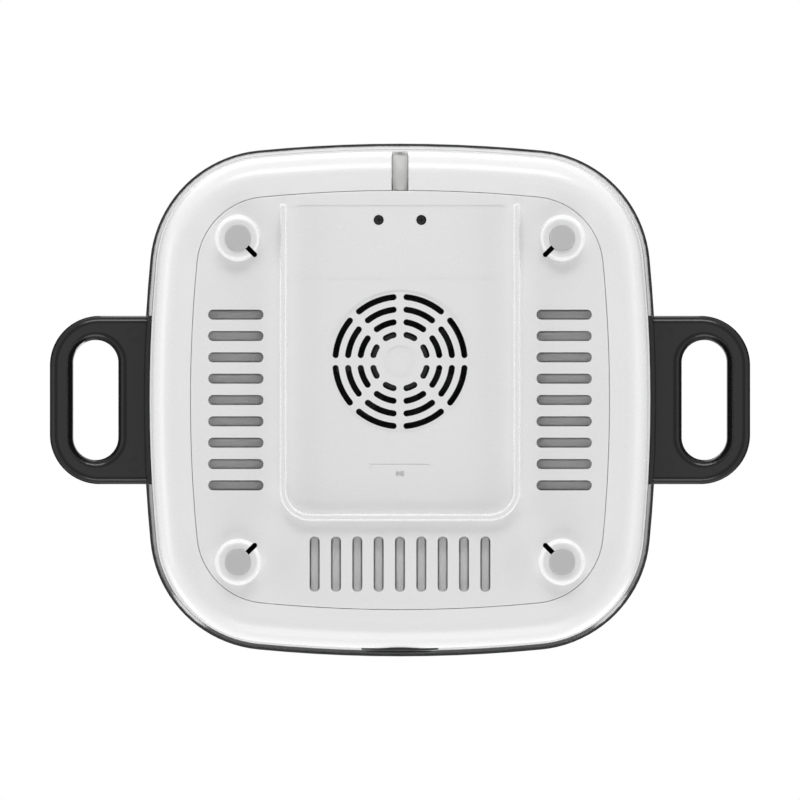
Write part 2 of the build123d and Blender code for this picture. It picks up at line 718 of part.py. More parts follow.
def make_cord_clamp():
    """Bar on two bosses of the cover, with a saddle that holds the cord."""
    low = COVER_INSIDE + CLAMP_BOSS_HEIGHT
    half = CLAMP_SCREW_X + CLAMP_MARGIN
    depth = (CLAMP_SCREW_Y - CLAMP_DEPTH / 2, CLAMP_SCREW_Y + CLAMP_DEPTH / 2)
    clamp = block((-half, half), depth, (low, low + CLAMP_HEIGHT))
    clamp -= rod(CORD_RADIUS, *depth, GLAND_Z)
    clamp -= block((-CORD_RADIUS, CORD_RADIUS), depth, (GLAND_Z, low + CLAMP_HEIGHT))
    for side in (-1, 1):
        clamp -= disc(SCREW_RADIUS + RUNNING, low, low + CLAMP_HEIGHT, side * CLAMP_SCREW_X, CLAMP_SCREW_Y)
    return clamp


def make_clamp_screws():
    """Two screws, sunk in the cover, that hold the cord clamp."""
    shoulder = COVER_INSIDE + CLAMP_HEAD_DEPTH
    head = disc(CLAMP_HOLE_RADIUS - FIT, shoulder - SCREW_HEAD, shoulder)
    screw = head + disc(SCREW_RADIUS, shoulder, COVER_INSIDE + CLAMP_BOSS_HEIGHT + CLAMP_HEIGHT)
    return Part() + [Pos(side * CLAMP_SCREW_X, CLAMP_SCREW_Y) * screw for side in (-1, 1)]


def vent_hood(room):
    """Hood over one row of slots, open towards the middle, with a louvre over each, for the row at +X."""
    half_row = vent_row()[-1] + VENT_WIDTH / 2 + HOOD_MARGIN
    half_hood = half_row + HOOD_WALL
    half_louvre = VENT_WIDTH / 2 - LOUVRE_GAP
    roof = COVER_INSIDE + room
    along = (VENT_INNER, VENT_OUTER + HOOD_WALL)
    hood = block(along, (-half_hood, half_hood), (COVER_INSIDE, roof + HOOD_WALL))
    hood -= block((VENT_INNER, VENT_OUTER), (-half_row, half_row), (COVER_INSIDE, roof))
    height = (roof - LOUVRE_HEIGHT, roof + HOOD_WALL)
    return hood + [block(along, (y - half_louvre, y + half_louvre), height) for y in vent_row()]


def make_vent_hoods():
    """Three hoods that turn the exhaust air down through the slots."""
    side = vent_hood(SIDE_HOOD_ROOM)
    return Part() + [side, Rot(0, 0, 180) * side, Rot(0, 0, -90) * vent_hood(FRONT_HOOD_ROOM)]


def make_fan_frame():
    """Square fan frame with a back plate on four struts and a tube for the bearing."""
    high = FAN_BACK_Z + FAN_BACK
    frame = prism(RectangleRounded(FAN_FRAME, FAN_FRAME, FAN_FRAME_CORNER), COVER_INSIDE, high)
    frame -= disc(FAN_BORE, COVER_INSIDE, high)
    frame += disc(FAN_HUB_RADIUS, FAN_BACK_Z, high)
    for index in range(4):
        strut = block((0, FAN_BORE + FAN_TIP_GAP), (-FAN_STRUT / 2, FAN_STRUT / 2), (FAN_BACK_Z, high))
        frame += Rot(0, 0, 45 + 90 * index) * strut
    tube = BEARING_RADIUS + RUNNING
    frame += disc(tube + TUBE_WALL, BEARING_Z, FAN_BACK_Z)
    frame -= disc(tube, BEARING_Z, FAN_BACK_Z)
    return Pos(0, FAN_Y) * frame


def make_fan_bearing():
    """Bush in the frame's tube."""
    bush = disc(BEARING_RADIUS, BEARING_Z, FAN_BACK_Z)
    return Pos(0, FAN_Y) * (bush - disc(FAN_SHAFT_RADIUS + RUNNING, BEARING_Z, FAN_BACK_Z))


def make_fan_stator():
    """Slotted motor core round the bearing tube."""
    low = FAN_BACK_Z - STATOR_THICKNESS
    core = disc(STATOR_RADIUS, low, FAN_BACK_Z)
    core -= disc(BEARING_RADIUS + TUBE_WALL + 2 * RUNNING, low, FAN_BACK_Z)
    slot_start = (STATOR_RADIUS + BEARING_RADIUS + TUBE_WALL) / 2
    for index in range(STATOR_SLOTS):
        width = (-STATOR_SLOT / 2, STATOR_SLOT / 2)
        slot = block((slot_start, 2 * STATOR_RADIUS), width, (low, FAN_BACK_Z))
        core -= Rot(0, 0, index * 360 / STATOR_SLOTS) * slot
    return Pos(0, FAN_Y) * core


def fan_blade():
    """One twisted blade, from the hub out to the tip circle."""
    middle = (ROTOR_Z + ROTOR_TOP) / 2
    tip = FAN_BORE - FAN_TIP_GAP
    stations = (
        (FAN_HUB_RADIUS - FAN_HUB_WALL / 2, BLADE_ROOT_CHORD, BLADE_ROOT_PITCH),
        (tip + FAN_TIP_GAP, BLADE_TIP_CHORD, BLADE_TIP_PITCH),
    )
    ends = []
    for radius, chord, pitch in stations:
        across = Plane(origin=(radius, 0, middle), x_dir=(0, 1, 0), z_dir=(1, 0, 0))
        ends.append(across * Rot(0, 0, pitch) * Rectangle(chord, BLADE_THICKNESS))
    return loft(ends, ruled=True) & disc(tip, ROTOR_Z, ROTOR_TOP)


def make_fan_rotor():
    """Hub cup with twisted blades, open towards the motor."""
    inside = ROTOR_Z + FAN_HUB_WALL
    rotor = disc(FAN_HUB_RADIUS, ROTOR_Z, ROTOR_TOP)
    rotor -= disc(FAN_HUB_RADIUS - FAN_HUB_WALL, inside, ROTOR_TOP)
    blade = fan_blade()
    rotor += [Rot(0, 0, index * 360 / FAN_BLADES) * blade for index in range(FAN_BLADES)]
    return Pos(0, FAN_Y) * (rotor - disc(FAN_SHAFT_RADIUS, ROTOR_Z, inside))


def make_fan_shaft():
    """Rotor shaft, from the hub up into the bearing."""
    return Pos(0, FAN_Y) * disc(FAN_SHAFT_RADIUS, ROTOR_Z, ROTOR_TOP)


def make_power_board():
    """Circuit board on the cover's standoffs."""
    return block((-BOARD_X, BOARD_X), (BOARD_FRONT, BOARD_REAR), (BOARD_Z, BOARD_TOP))


def make_heat_sink():
    """Finned heat sink on the board, with its fins along the air flow."""
    along = (BOARD_Y - SINK_LENGTH / 2, BOARD_Y + SINK_LENGTH / 2)
    sink = block((-SINK_X, SINK_X), along, (BOARD_TOP, BOARD_TOP + SINK_BASE))
    step = (2 * SINK_X - SINK_FIN) / (SINK_FINS - 1)
    for index in range(SINK_FINS):
        start = -SINK_X + index * step
        sink += block((start, start + SINK_FIN), along, (BOARD_TOP, SINK_TOP))
    return sink


def make_power_devices():
    """Two power packages against the end fin of the heat sink."""
    package = block(
        (SINK_X, SINK_X + DEVICE_THICKNESS),
        (-DEVICE_WIDTH / 2, DEVICE_WIDTH / 2),
        (BOARD_TOP, SINK_TOP - DEVICE_DROP),
    )
    offset = (DEVICE_WIDTH + DEVICE_SPACE) / 2
    return Part() + [Pos(0, BOARD_Y + side * offset) * package for side in (-1, 1)]


def make_capacitors():
    """Two film capacitors on the board."""
    outline = RectangleRounded(CAPACITOR_LENGTH, CAPACITOR_WIDTH, CAPACITOR_ROUND)
    case = prism(outline, BOARD_TOP, SINK_TOP - CAPACITOR_DROP)
    x = -SINK_X - CAPACITOR_GAP - CAPACITOR_LENGTH / 2
    offset = (CAPACITOR_WIDTH + CAPACITOR_SPACE) / 2
    return Part() + [Pos(x, BOARD_Y + side * offset) * case for side in (-1, 1)]


def make_filter_choke():
    """Ring choke lying on the board."""
    high = BOARD_TOP + CHOKE_HEIGHT
    ring = lathe(
        (CHOKE_BORE, BOARD_TOP, CHOKE_ROUND),
        (CHOKE_RADIUS, BOARD_TOP, CHOKE_ROUND),
        (CHOKE_RADIUS, high, CHOKE_ROUND),
        (CHOKE_BORE, high, CHOKE_ROUND),
    )
    return Pos(SINK_X + DEVICE_THICKNESS + CHOKE_GAP + CHOKE_RADIUS, BOARD_Y) * ring


def turned_along_front(*corners):
    """Solid turned about the dial's axis from (radius, distance in front of the middle) corners."""
    return Pos(0, 0, DIAL_Z) * Rot(90, 0, 0) * lathe(*corners)


def make_dial():
    """Low dial with a dished face and a finger dimple."""
    dial = turned_along_front(
        (0, DIAL_BACK),
        (DIAL_RADIUS, DIAL_BACK),
        (DIAL_RADIUS, DIAL_FACE, DIAL_ROUND),
        (0, DIAL_FACE),
    )
    rim = DIAL_RADIUS - 2 * DIAL_ROUND
    dish_radius = (rim**2 + DIAL_DISH**2) / (2 * DIAL_DISH)
    dial -= Pos(0, -DIAL_FACE - dish_radius + DIAL_DISH, DIAL_Z) * Sphere(dish_radius)
    dimple_radius = (DIAL_DIMPLE_RADIUS**2 + DIAL_DIMPLE_SUNK**2) / (2 * DIAL_DIMPLE_SUNK)
    dimple_y = -DIAL_FACE + DIAL_DISH / 2 - dimple_radius + DIAL_DIMPLE_SUNK
    dial -= Pos(0, dimple_y, DIAL_Z + DIAL_DIMPLE_REACH) * Sphere(dimple_radius)
    return dial - rod(DIAL_SHAFT_RADIUS, -DIAL_BACK - DIAL_SHAFT_SUNK, -DIAL_BACK, DIAL_Z)


def make_dial_shaft():
    """Shaft from the dial into the rotary switch."""
    return rod(DIAL_SHAFT_RADIUS, -DIAL_BACK - DIAL_SHAFT_SUNK, -CUP_BACK + SWITCH_DEPTH / 2, DIAL_Z)


def make_dial_cup():
    """Cup in the shell's front wall that the dial turns in, with a tab behind the wall at each side."""
    inner = CUP_RADIUS - CUP_WALL
    face = FRONT_WALL + CUP_PROUD
    eye = DIAL_SHAFT_RADIUS + BUSH_WALL + RUNNING
    cup = turned_along_front(
        (eye, CUP_BACK),
        (CUP_RADIUS, CUP_BACK),
        (CUP_RADIUS, face, CUP_WALL / 2),
        (inner, face),
        (inner, CUP_FLOOR_FACE),
        (eye, CUP_FLOOR_FACE),
    )
    tab_face = FRONT_WALL - SHELL_WALL - BEHIND_WALL
    depth = (-tab_face, -tab_face + CUP_TAB_THICKNESS)
    height = (DIAL_Z - CUP_TAB_HALF, DIAL_Z + CUP_TAB_HALF)
    tab = block((inner + CUP_WALL / 2, CUP_RADIUS + CUP_TAB), depth, height)
    return cup + [tab, mirror(tab, Plane.YZ)]


def make_rotary_switch():
    """Rotary switch behind the cup, with a bush through the cup's floor."""
    half = SWITCH_WIDTH / 2
    depth = (-CUP_BACK, -CUP_BACK + SWITCH_DEPTH)
    body = block((-half, half), depth, (DIAL_Z - SWITCH_HEIGHT / 2, DIAL_Z + SWITCH_HEIGHT / 2))
    body += rod(DIAL_SHAFT_RADIUS + BUSH_WALL, -CUP_FLOOR_FACE, -CUP_BACK, DIAL_Z)
    bore_end = -CUP_BACK + SWITCH_DEPTH / 2 + SEAM
    return body - rod(DIAL_SHAFT_RADIUS + RUNNING, -CUP_FLOOR_FACE, bore_end, DIAL_Z)


def make_control_board():
    """Small upright board behind the rotary switch."""
    start = -CUP_BACK + SWITCH_DEPTH
    height = (DIAL_Z - CONTROL_BOARD_HEIGHT / 2, DIAL_Z + CONTROL_BOARD_HEIGHT / 2)
    return block((-CONTROL_BOARD_X, CONTROL_BOARD_X), (start, start + BOARD_THICKNESS), height)


def wall_inset(z):
    """How far the pot's outer wall is set in from the rim at a height."""
    share = (z - POT_BODY_BOTTOM) / (RIM_UNDERSIDE - POT_BODY_BOTTOM)
    return WALL_FOOT_INSET + (WALL_TOP_INSET - WALL_FOOT_INSET) * share


def wall_band(inner, outer, low, high):
    """Band round the pot between two distances out from its wall."""
    return plan_ring(
        (inner - wall_inset(low), low),
        (outer - wall_inset(low), low),
        (outer - wall_inset(high), high),
        (inner - wall_inset(high), high),
    )


def make_pot_body():
    """Cast pot: flaring wall, rounded foot, flat floor and a small turned-out rim."""
    floor = POT_BODY_BOTTOM + POT_FLOOR
    inner_top = WALL_TOP_INSET + POT_WALL
    inner_foot = wall_inset(floor) + POT_WALL
    wall = plan_ring(
        (-POT_CORE, POT_BODY_BOTTOM),
        (-WALL_FOOT_INSET, POT_BODY_BOTTOM, POT_ROUND),
        (-WALL_TOP_INSET, RIM_UNDERSIDE),
        (0, RIM_UNDERSIDE, RIM_EDGE),
        (0, RIM_TOP, RIM_ROUND),
        (-inner_top, RIM_TOP, RIM_ROUND),
        (-inner_foot, floor, POT_ROUND - POT_WALL),
        (-POT_CORE, floor),
    )
    return wall + plan_prism(POT_CORE, POT_BODY_BOTTOM, floor)


def make_pot_base_plate():
    """Magnetic steel disc under the pot's floor."""
    return disc(BASE_PLATE_RADIUS, POT_BOTTOM, POT_BODY_BOTTOM)


def bracket_levels():
    """Underside and top of the steel bracket inside a handle."""
    middle = (HANDLE_Z + HANDLE_TOP) / 2
    return middle - BRACKET_THICKNESS / 2, middle + BRACKET_THICKNESS / 2


def make_handle():
    """Loop handle for the +X side, with a flange against the pot's wall and a pocket for the bracket."""
    middle = (HANDLE_ROOT + HANDLE_OUT) / 2
    outline = Pos(middle, 0) * Rectangle(HANDLE_OUT - HANDLE_ROOT, 2 * HANDLE_HALF)
    outline = fillet(outline.vertices().group_by(Axis.X)[-1], HANDLE_CORNER)
    loop = prism(outline, HANDLE_Z, HANDLE_TOP)
    rims = loop.faces().filter_by(Axis.Z).edges()
    loop = fillet(rims - rims.group_by(Axis.X)[0], min(HANDLE_ROUND, HANDLE_THICKNESS / 2 - FIT))
    grip_size = (2 * GRIP_HALF, GRIP_OUTER - GRIP_INNER)
    grip = Pos((GRIP_INNER + GRIP_OUTER) / 2, 0) * Rot(0, 0, 90) * SlotOverall(*grip_size)
    loop -= prism(grip, HANDLE_Z, HANDLE_TOP)
    grip_wires = [wire for face in loop.faces().filter_by(Axis.Z) for wire in face.inner_wires()]
    grip_round = min(GRIP_ROUND, HANDLE_THICKNESS / 2 - FIT)
    loop = fillet([edge for wire in grip_wires for edge in wire.edges()], grip_round)
    side = block((0, HANDLE_OUT), (-HANDLE_HALF, HANDLE_HALF), (FLANGE_BOTTOM, FLANGE_TOP))
    flange = wall_band(FIT / 2, FLANGE_THICKNESS, FLANGE_BOTTOM, FLANGE_TOP) & side
    clear_low = FLANGE_BOTTOM - FIT
    loop -= wall_band(-3 * POT_WALL, FIT / 2, clear_low, FLANGE_TOP + FIT)
    handle = loop + flange
    low_bracket, high_bracket = bracket_levels()
    pocket_half = BRACKET_HALF + FIT
    pocket_z = (low_bracket - FIT / 2, high_bracket + FIT / 2)
    handle -= block((0, BRACKET_OUT + FIT), (-pocket_half, pocket_half), pocket_z)
    for y in (-PLUG_Y, PLUG_Y):
        handle -= disc(PLUG_RADIUS + FIT / 2, HANDLE_Z, HANDLE_Z + PLUG_SUNK + PLUG_THICKNESS, PLUG_X, y)
        handle -= disc(HANDLE_SCREW_HEAD_RADIUS + FIT, HANDLE_Z, screw_seat(), PLUG_X, y)
        handle -= disc(HANDLE_SCREW_RADIUS + FIT, HANDLE_Z, high_bracket + FIT / 2, PLUG_X, y)
    return handle


def screw_seat():
    """Level that a handle screw's head bears on."""
    return HANDLE_Z + PLUG_SUNK + PLUG_THICKNESS + HANDLE_SCREW_HEAD


def both_sides(piece):
    """A piece at +X with its mirror image at -X."""
    return Part() + [piece, mirror(piece, Plane.YZ)]


def make_handle_brackets():
    """Steel tongues on the pot's wall that the handles slide over."""
    low, high = bracket_levels()
    tongue = block((HANDLE_ROOT, BRACKET_OUT), (-BRACKET_HALF, BRACKET_HALF), (low, high))
    tongue -= wall_band(-3 * POT_WALL, RUNNING, low - FIT, high + FIT)
    for y in (-PLUG_Y, PLUG_Y):
        tongue -= disc(HANDLE_SCREW_RADIUS + RUNNING, low, high, PLUG_X, y)
    return both_sides(tongue)


def make_handle_screws():
    """Screws from below through the handles into the brackets."""
    seat = screw_seat()
    screw = disc(HANDLE_SCREW_HEAD_RADIUS, seat - HANDLE_SCREW_HEAD, seat)
    screw += disc(HANDLE_SCREW_RADIUS, seat, bracket_levels()[1])
    return both_sides(Part() + [Pos(PLUG_X, y) * screw for y in (-PLUG_Y, PLUG_Y)])


def make_handle_plugs():
    """Flat plugs that cover the handle screws."""
    low = HANDLE_Z + PLUG_SUNK
    plug = disc(PLUG_RADIUS, low, low + PLUG_THICKNESS)
    return both_sides(Part() + [Pos(PLUG_X, y) * plug for y in (-PLUG_Y, PLUG_Y)])


def make_lid_glass():
    """Pressed glass lid: flat edge, soft shoulder, flat middle with holes for knob and steam."""
    start = GLASS_INSET + GLASS_FLAT
    end = LID_CORE - GLASS_EASE
    top = GLASS_Z + GLASS_THICKNESS
    half_turn = atan2(GLASS_RISE, end - start) / 2
    high_round = min(GLASS_HIGH_ROUND, GLASS_EASE / tan(half_turn) - FIT)
    shoulder = plan_ring(
        (-GLASS_INSET, GLASS_Z),
        (-GLASS_INSET, top),
        (-start, top, GLASS_LOW_ROUND - GLASS_THICKNESS),
        (-end, GLASS_TOP, high_round),
        (-LID_CORE, GLASS_TOP),
        (-LID_CORE, GLASS_TOP - GLASS_THICKNESS),
        (-end, GLASS_TOP - GLASS_THICKNESS, high_round - GLASS_THICKNESS),
        (-start, GLASS_Z, GLASS_LOW_ROUND),
    )
    glass = shoulder + plan_prism(LID_CORE, GLASS_TOP - GLASS_THICKNESS, GLASS_TOP)
    glass -= disc(KNOB_SCREW_RADIUS + FIT, GLASS_Z, GLASS_TOP)
    return glass - disc(EYELET_RADIUS + FIT, GLASS_Z, GLASS_TOP, 0, VENT_EYE_Y)


def make_lid_rim():
    """Steel band round the glass edge, with a skirt that drops inside the pot."""
    band_top = GLASS_Z + GLASS_THICKNESS + FIT
    lip = GLASS_INSET + GLASS_FLAT / 2
    skirt_outer = WALL_TOP_INSET + POT_WALL + SKIRT_GAP
    skirt_inner = skirt_outer + LID_BAND
    return plan_ring(
        (-LID_INSET, LID_Z),
        (-LID_INSET, band_top + LID_BAND, LID_BAND / 2),
        (-lip, band_top + LID_BAND),
        (-lip, band_top),
        (-GLASS_INSET + FIT, band_top),
        (-GLASS_INSET + FIT, GLASS_Z),
        (-skirt_inner, GLASS_Z),
        (-skirt_inner, LID_Z - LID_SKIRT),
        (-skirt_outer, LID_Z - LID_SKIRT),
        (-skirt_outer, LID_Z),
    )


def make_knob_seat():
    """Collar between the glass and the knob."""
    low = GLASS_TOP
    high = low + KNOB_SEAT_THICKNESS
    bore = KNOB_SCREW_RADIUS + FIT
    return lathe(
        (bore, low),
        (KNOB_SEAT_RADIUS, low),
        (KNOB_SEAT_RADIUS, high, KNOB_SEAT_THICKNESS / 2),
        (bore, high),
    )


def make_lid_knob():
    """Turned knob with a waisted stem and a crowned head, on a blind bore for its screw."""
    low = GLASS_TOP + KNOB_SEAT_THICKNESS
    head = low + KNOB_HEIGHT - KNOB_HEAD
    knob = lathe(
        (0, low),
        (KNOB_STEM_RADIUS, low),
        (KNOB_STEM_RADIUS, head - KNOB_CROWN, KNOB_STEM_RADIUS / 2),
        (KNOB_RADIUS, head, KNOB_CROWN / 2),
        (KNOB_RADIUS, low + KNOB_HEIGHT - KNOB_CROWN / 2, KNOB_CROWN),
        (0, low + KNOB_HEIGHT),
    )
    return knob - disc(KNOB_SCREW_RADIUS + RUNNING, low, low + KNOB_SCREW_DEPTH + FIT)


def make_knob_washer():
    """Soft washer under the glass."""
    high = GLASS_TOP - GLASS_THICKNESS
    low = high - KNOB_WASHER_THICKNESS
    return disc(KNOB_WASHER_RADIUS, low, high) - disc(KNOB_SCREW_RADIUS + FIT, low, high)


def make_knob_screw():
    """Screw from under the lid into the knob."""
    seat = GLASS_TOP - GLASS_THICKNESS - KNOB_WASHER_THICKNESS
    screw = disc(KNOB_SCREW_RADIUS, seat, GLASS_TOP + KNOB_SEAT_THICKNESS + KNOB_SCREW_DEPTH)
    head_low = seat - KNOB_SCREW_HEAD
    head = lathe(
        (0, head_low),
        (KNOB_SCREW_HEAD_RADIUS, head_low, KNOB_SCREW_HEAD / 2),
        (KNOB_SCREW_HEAD_RADIUS, seat),
        (0, seat),
    )
    return screw + head


def make_steam_vent():
    """Eyelet through the glass that lets steam out."""
    low = GLASS_TOP - GLASS_THICKNESS
    eyelet = disc(EYELET_RADIUS, low, GLASS_TOP)
    eyelet += disc(EYELET_FLANGE_RADIUS, GLASS_TOP, GLASS_TOP + EYELET_FLANGE)
    eyelet += disc(EYELET_FLANGE_RADIUS, low - EYELET_FLANGE, low)
    eyelet -= disc(EYELET_BORE, low - EYELET_FLANGE, GLASS_TOP + EYELET_FLANGE)
    return Pos(0, VENT_EYE_Y) * eyelet


sensor_low = HOB_UNDERSIDE - SENSOR_THICKNESS
handle_right = make_handle()
nodes = {
    "base_shell": make_base_shell(),
    "bottom_cover": make_bottom_cover(),
    "foot_pads": make_foot_pads(),
    "cover_screws": make_cover_screws(),
    "top_frame": make_top_frame(),
    "hob_plate": plan_prism(HOB_INSET, HOB_UNDERSIDE, HOB_TOP),
    "hob_seal": make_hob_seal(),
    "coil_tray": make_coil_tray(),
    "tray_screws": make_tray_screws(),
    "induction_coil": make_induction_coil(),
    "ferrite_bars": make_ferrite_bars(),
    "sensor_holder": disc(SENSOR_HOLDER_RADIUS, TRAY_TOP, sensor_low),
    "temp_sensor": disc(SENSOR_RADIUS, sensor_low, HOB_UNDERSIDE),
    "cord_gland": make_cord_gland(),
    "cord_clamp": make_cord_clamp(),
    "clamp_screws": make_clamp_screws(),
    "vent_hoods": make_vent_hoods(),
    "fan_frame": make_fan_frame(),
    "fan_bearing": make_fan_bearing(),
    "fan_stator": make_fan_stator(),
    "fan_rotor": make_fan_rotor(),
    "fan_shaft": make_fan_shaft(),
    "power_board": make_power_board(),
    "heat_sink": make_heat_sink(),
    "power_devices": make_power_devices(),
    "capacitors": make_capacitors(),
    "filter_choke": make_filter_choke(),
    "dial": make_dial(),
    "dial_shaft": make_dial_shaft(),
    "dial_cup": make_dial_cup(),
    "rotary_switch": make_rotary_switch(),
    "control_board": make_control_board(),
    "pot_body": make_pot_body(),
    "pot_base_plate": make_pot_base_plate(),
    "handle_right": handle_right,
    "handle_left": mirror(handle_right, Plane.YZ),
    "handle_brackets": make_handle_brackets(),
    "handle_screws": make_handle_screws(),
    "handle_plugs": make_handle_plugs(),
    "lid_glass": make_lid_glass(),
    "lid_rim": make_lid_rim(),
    "lid_knob": make_lid_knob(),
    "knob_seat": make_knob_seat(),
    "knob_washer": make_knob_washer(),
    "knob_screw": make_knob_screw(),
    "steam_vent": make_steam_vent(),
}

os.makedirs("parts", exist_ok=True)
for name, solid in nodes.items():
    export_step(solid, f"parts/{name}.step")
    print(name, round(solid.volume / 1000, 2), "cm3")
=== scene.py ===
# %% [markdown]
# # An electric hot pot, seen from below
# This lesson dresses a finished CAD model: an induction base, a lift-off pot with two loop
# handles and a loose glass lid. The solids arrive with their true sizes, so nothing is scaled
# or moved here. What is left to do is what the eye judges: finishes, printed marks, a stage,
# light and a camera.

# %% Load the CAD model
import math

import bpy
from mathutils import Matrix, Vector


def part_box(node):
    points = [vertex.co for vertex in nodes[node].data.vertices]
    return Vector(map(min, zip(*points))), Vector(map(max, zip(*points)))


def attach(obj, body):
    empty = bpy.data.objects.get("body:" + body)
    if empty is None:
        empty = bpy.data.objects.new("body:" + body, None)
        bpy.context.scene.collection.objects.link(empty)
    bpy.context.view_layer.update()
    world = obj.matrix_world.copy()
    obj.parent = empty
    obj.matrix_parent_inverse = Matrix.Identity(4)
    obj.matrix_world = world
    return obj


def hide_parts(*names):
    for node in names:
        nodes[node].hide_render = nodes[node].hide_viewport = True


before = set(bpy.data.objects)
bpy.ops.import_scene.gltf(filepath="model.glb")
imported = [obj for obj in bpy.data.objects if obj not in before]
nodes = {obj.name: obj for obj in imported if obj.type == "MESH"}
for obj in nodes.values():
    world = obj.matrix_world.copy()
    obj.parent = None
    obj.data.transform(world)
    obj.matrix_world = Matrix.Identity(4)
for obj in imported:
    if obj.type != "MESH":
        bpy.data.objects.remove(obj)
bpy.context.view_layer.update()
MM = 0.001

# %% [markdown]
# ## Camera
# The picture was taken from straight below, so far away that upright walls show as thin lines.
# An orthographic camera would hide those walls altogether. A very long lens keeps them and still
# behaves as a normal perspective camera. The lens alone doesn't set the framing: the distance
# follows from how many millimetres of the bottom cover the picture spans.

# %% Place the camera under the middle
LENS = 1000.0
SENSOR = 36.0
PICTURE_SPAN = 468.3 * MM
COVER_FACE = 8.0 * MM
FARTHEST = 100.0

camera_data = bpy.data.cameras.new("underside_camera")
camera_data.lens = LENS
camera_data.sensor_width = SENSOR
camera_data.clip_end = FARTHEST
camera = bpy.data.objects.new("underside_camera", camera_data)
bpy.context.scene.collection.objects.link(camera)
camera.location = (0, 0, COVER_FACE - PICTURE_SPAN * LENS / SENSOR)
camera.rotation_euler = (0, math.pi, 0)
bpy.context.scene.camera = camera
print("camera stands", round(-camera.location.z, 2), "m below the table top")

# %% [markdown]
# ## Small helpers for node trees
# Every finish and the stage are node trees. One function adds a node: it sets the node's own
# properties, then fills its inputs, where a socket is linked and anything else is a plain value.
# Colours are written as the hex values that a paint program shows, so one more function turns
# them into the linear values that a renderer calculates with. The last one carries a value over
# from one range to another, such as a texture's 0 to 1 to a range of roughness.

# %% Colour and node helpers
def colour(hex_value):
    """Linear colour for a hex value such as #F2F2F2."""
    channels = [int(hex_value[i:i + 2], 16) / 255 for i in (1, 3, 5)]
    linear = [c / 12.92 if c <= 0.04045 else ((c + 0.055) / 1.055) ** 2.4 for c in channels]
    return (*linear, 1.0)


def add(tree, kind, inputs=None, **settings):
    """Add a node, set its properties, and fill or link its inputs by name or number."""
    node = tree.nodes.new(kind)
    for name, value in settings.items():
        setattr(node, name, value)
    for name, value in (inputs or {}).items():
        if isinstance(value, bpy.types.NodeSocket):
            tree.links.new(value, node.inputs[name])
        else:
            node.inputs[name].default_value = value
    return node


def new_finish(name):
    """New material and its node tree, which is still empty."""
    material = bpy.data.materials.new(name)
    material.use_nodes = True
    material.node_tree.nodes.clear()
    return material, material.node_tree


def remap(tree, value, source=(0.0, 1.0), target=(0.0, 1.0)):
    """Carry a value over from one range to another, and stop at the ends."""
    node = add(tree, "ShaderNodeMapRange", {
        "Value": value, "From Min": source[0], "From Max": source[1],
        "To Min": target[0], "To Max": target[1]})
    return node.outputs[0]


print("white moulding in linear light:", [round(c, 3) for c in colour("#F2F2F2")])

# %% [markdown]
# ## World
# A product picture on pure white has a white surround that must not bleach the product. The
# Light Path node solves this: rays from the camera, and those that mirror in gloss or pass
# through glass, see plain white, while the light that falls on surfaces is a softer grey.

# %% White surround with a softer ambient light
AMBIENT = 0.38

world = bpy.data.worlds.new("white_studio")
world.use_nodes = True
tree = world.node_tree
tree.nodes.clear()
path = add(tree, "ShaderNodeLightPath")
seen = path.outputs["Is Camera Ray"]
for kind in ("Is Glossy Ray", "Is Transmission Ray"):
    either = add(tree, "ShaderNodeMath", {0: seen, 1: path.outputs[kind]}, operation="MAXIMUM")
    seen = either.outputs[0]
strength = remap(tree, seen, target=(AMBIENT, 1.0))
backdrop = add(tree, "ShaderNodeBackground", {"Color": (1, 1, 1, 1), "Strength": strength})
add(tree, "ShaderNodeOutputWorld", {"Surface": backdrop.outputs[0]})
bpy.context.scene.world = world
bpy.context.scene.view_settings.view_transform = "Standard"
print("ambient light level", AMBIENT)

# %% [markdown]
# ## Floor
# The pot stands on a pale floor, which catches its shadow when it is looked at from above. The
# main camera is under that floor, so the floor has to work like one-way glass. A ray that meets
# its lower face goes through, and Light Path counts that as one transparent surface passed: from
# then on, the floor lets that ray's light through as well, as if it weren't there. Every ray from
# above meets a solid floor, which also stops the lamps that lie below it.

# %% One-way floor
FLOOR_SIZE = 8.0
FLOOR_DROP = 0.1 * MM

bpy.ops.object.select_all(action="DESELECT")
bpy.ops.mesh.primitive_plane_add(size=FLOOR_SIZE, location=(0, 0, -FLOOR_DROP))
floor = bpy.context.object
floor.name = "floor"

floor_paint, tree = new_finish("pale_matt_floor_paint")
passed = add(tree, "ShaderNodeLightPath").outputs["Transparent Depth"]
lower_face = add(tree, "ShaderNodeNewGeometry").outputs["Backfacing"]
open_floor = add(tree, "ShaderNodeMath", {0: passed, 1: lower_face},
                 operation="MAXIMUM", use_clamp=True)
paint = add(tree, "ShaderNodeBsdfDiffuse", {"Color": colour("#F7F7F6")})
clear = add(tree, "ShaderNodeBsdfTransparent")
mixed = add(tree, "ShaderNodeMixShader", {
    0: open_floor.outputs[0], 1: paint.outputs[0], 2: clear.outputs[0]})
add(tree, "ShaderNodeOutputMaterial", {"Surface": mixed.outputs[0]})
floor.data.materials.append(floor_paint)
print("floor of", FLOOR_SIZE, "m at z =", floor.location.z)

# %% [markdown]
# ## Lamps
# Soft boxes light the product, as in a studio. Six lie low round the underside and none straight
# below it: they graze it, so that its wall, feet and sunk panel throw short shadows and its deep
# openings stay dark. The stronger pair at the rear gives the picture its bright upper edge. Three
# more hang above for the views from there. Area lamps get a size and a power, and turn to face
# the pot.

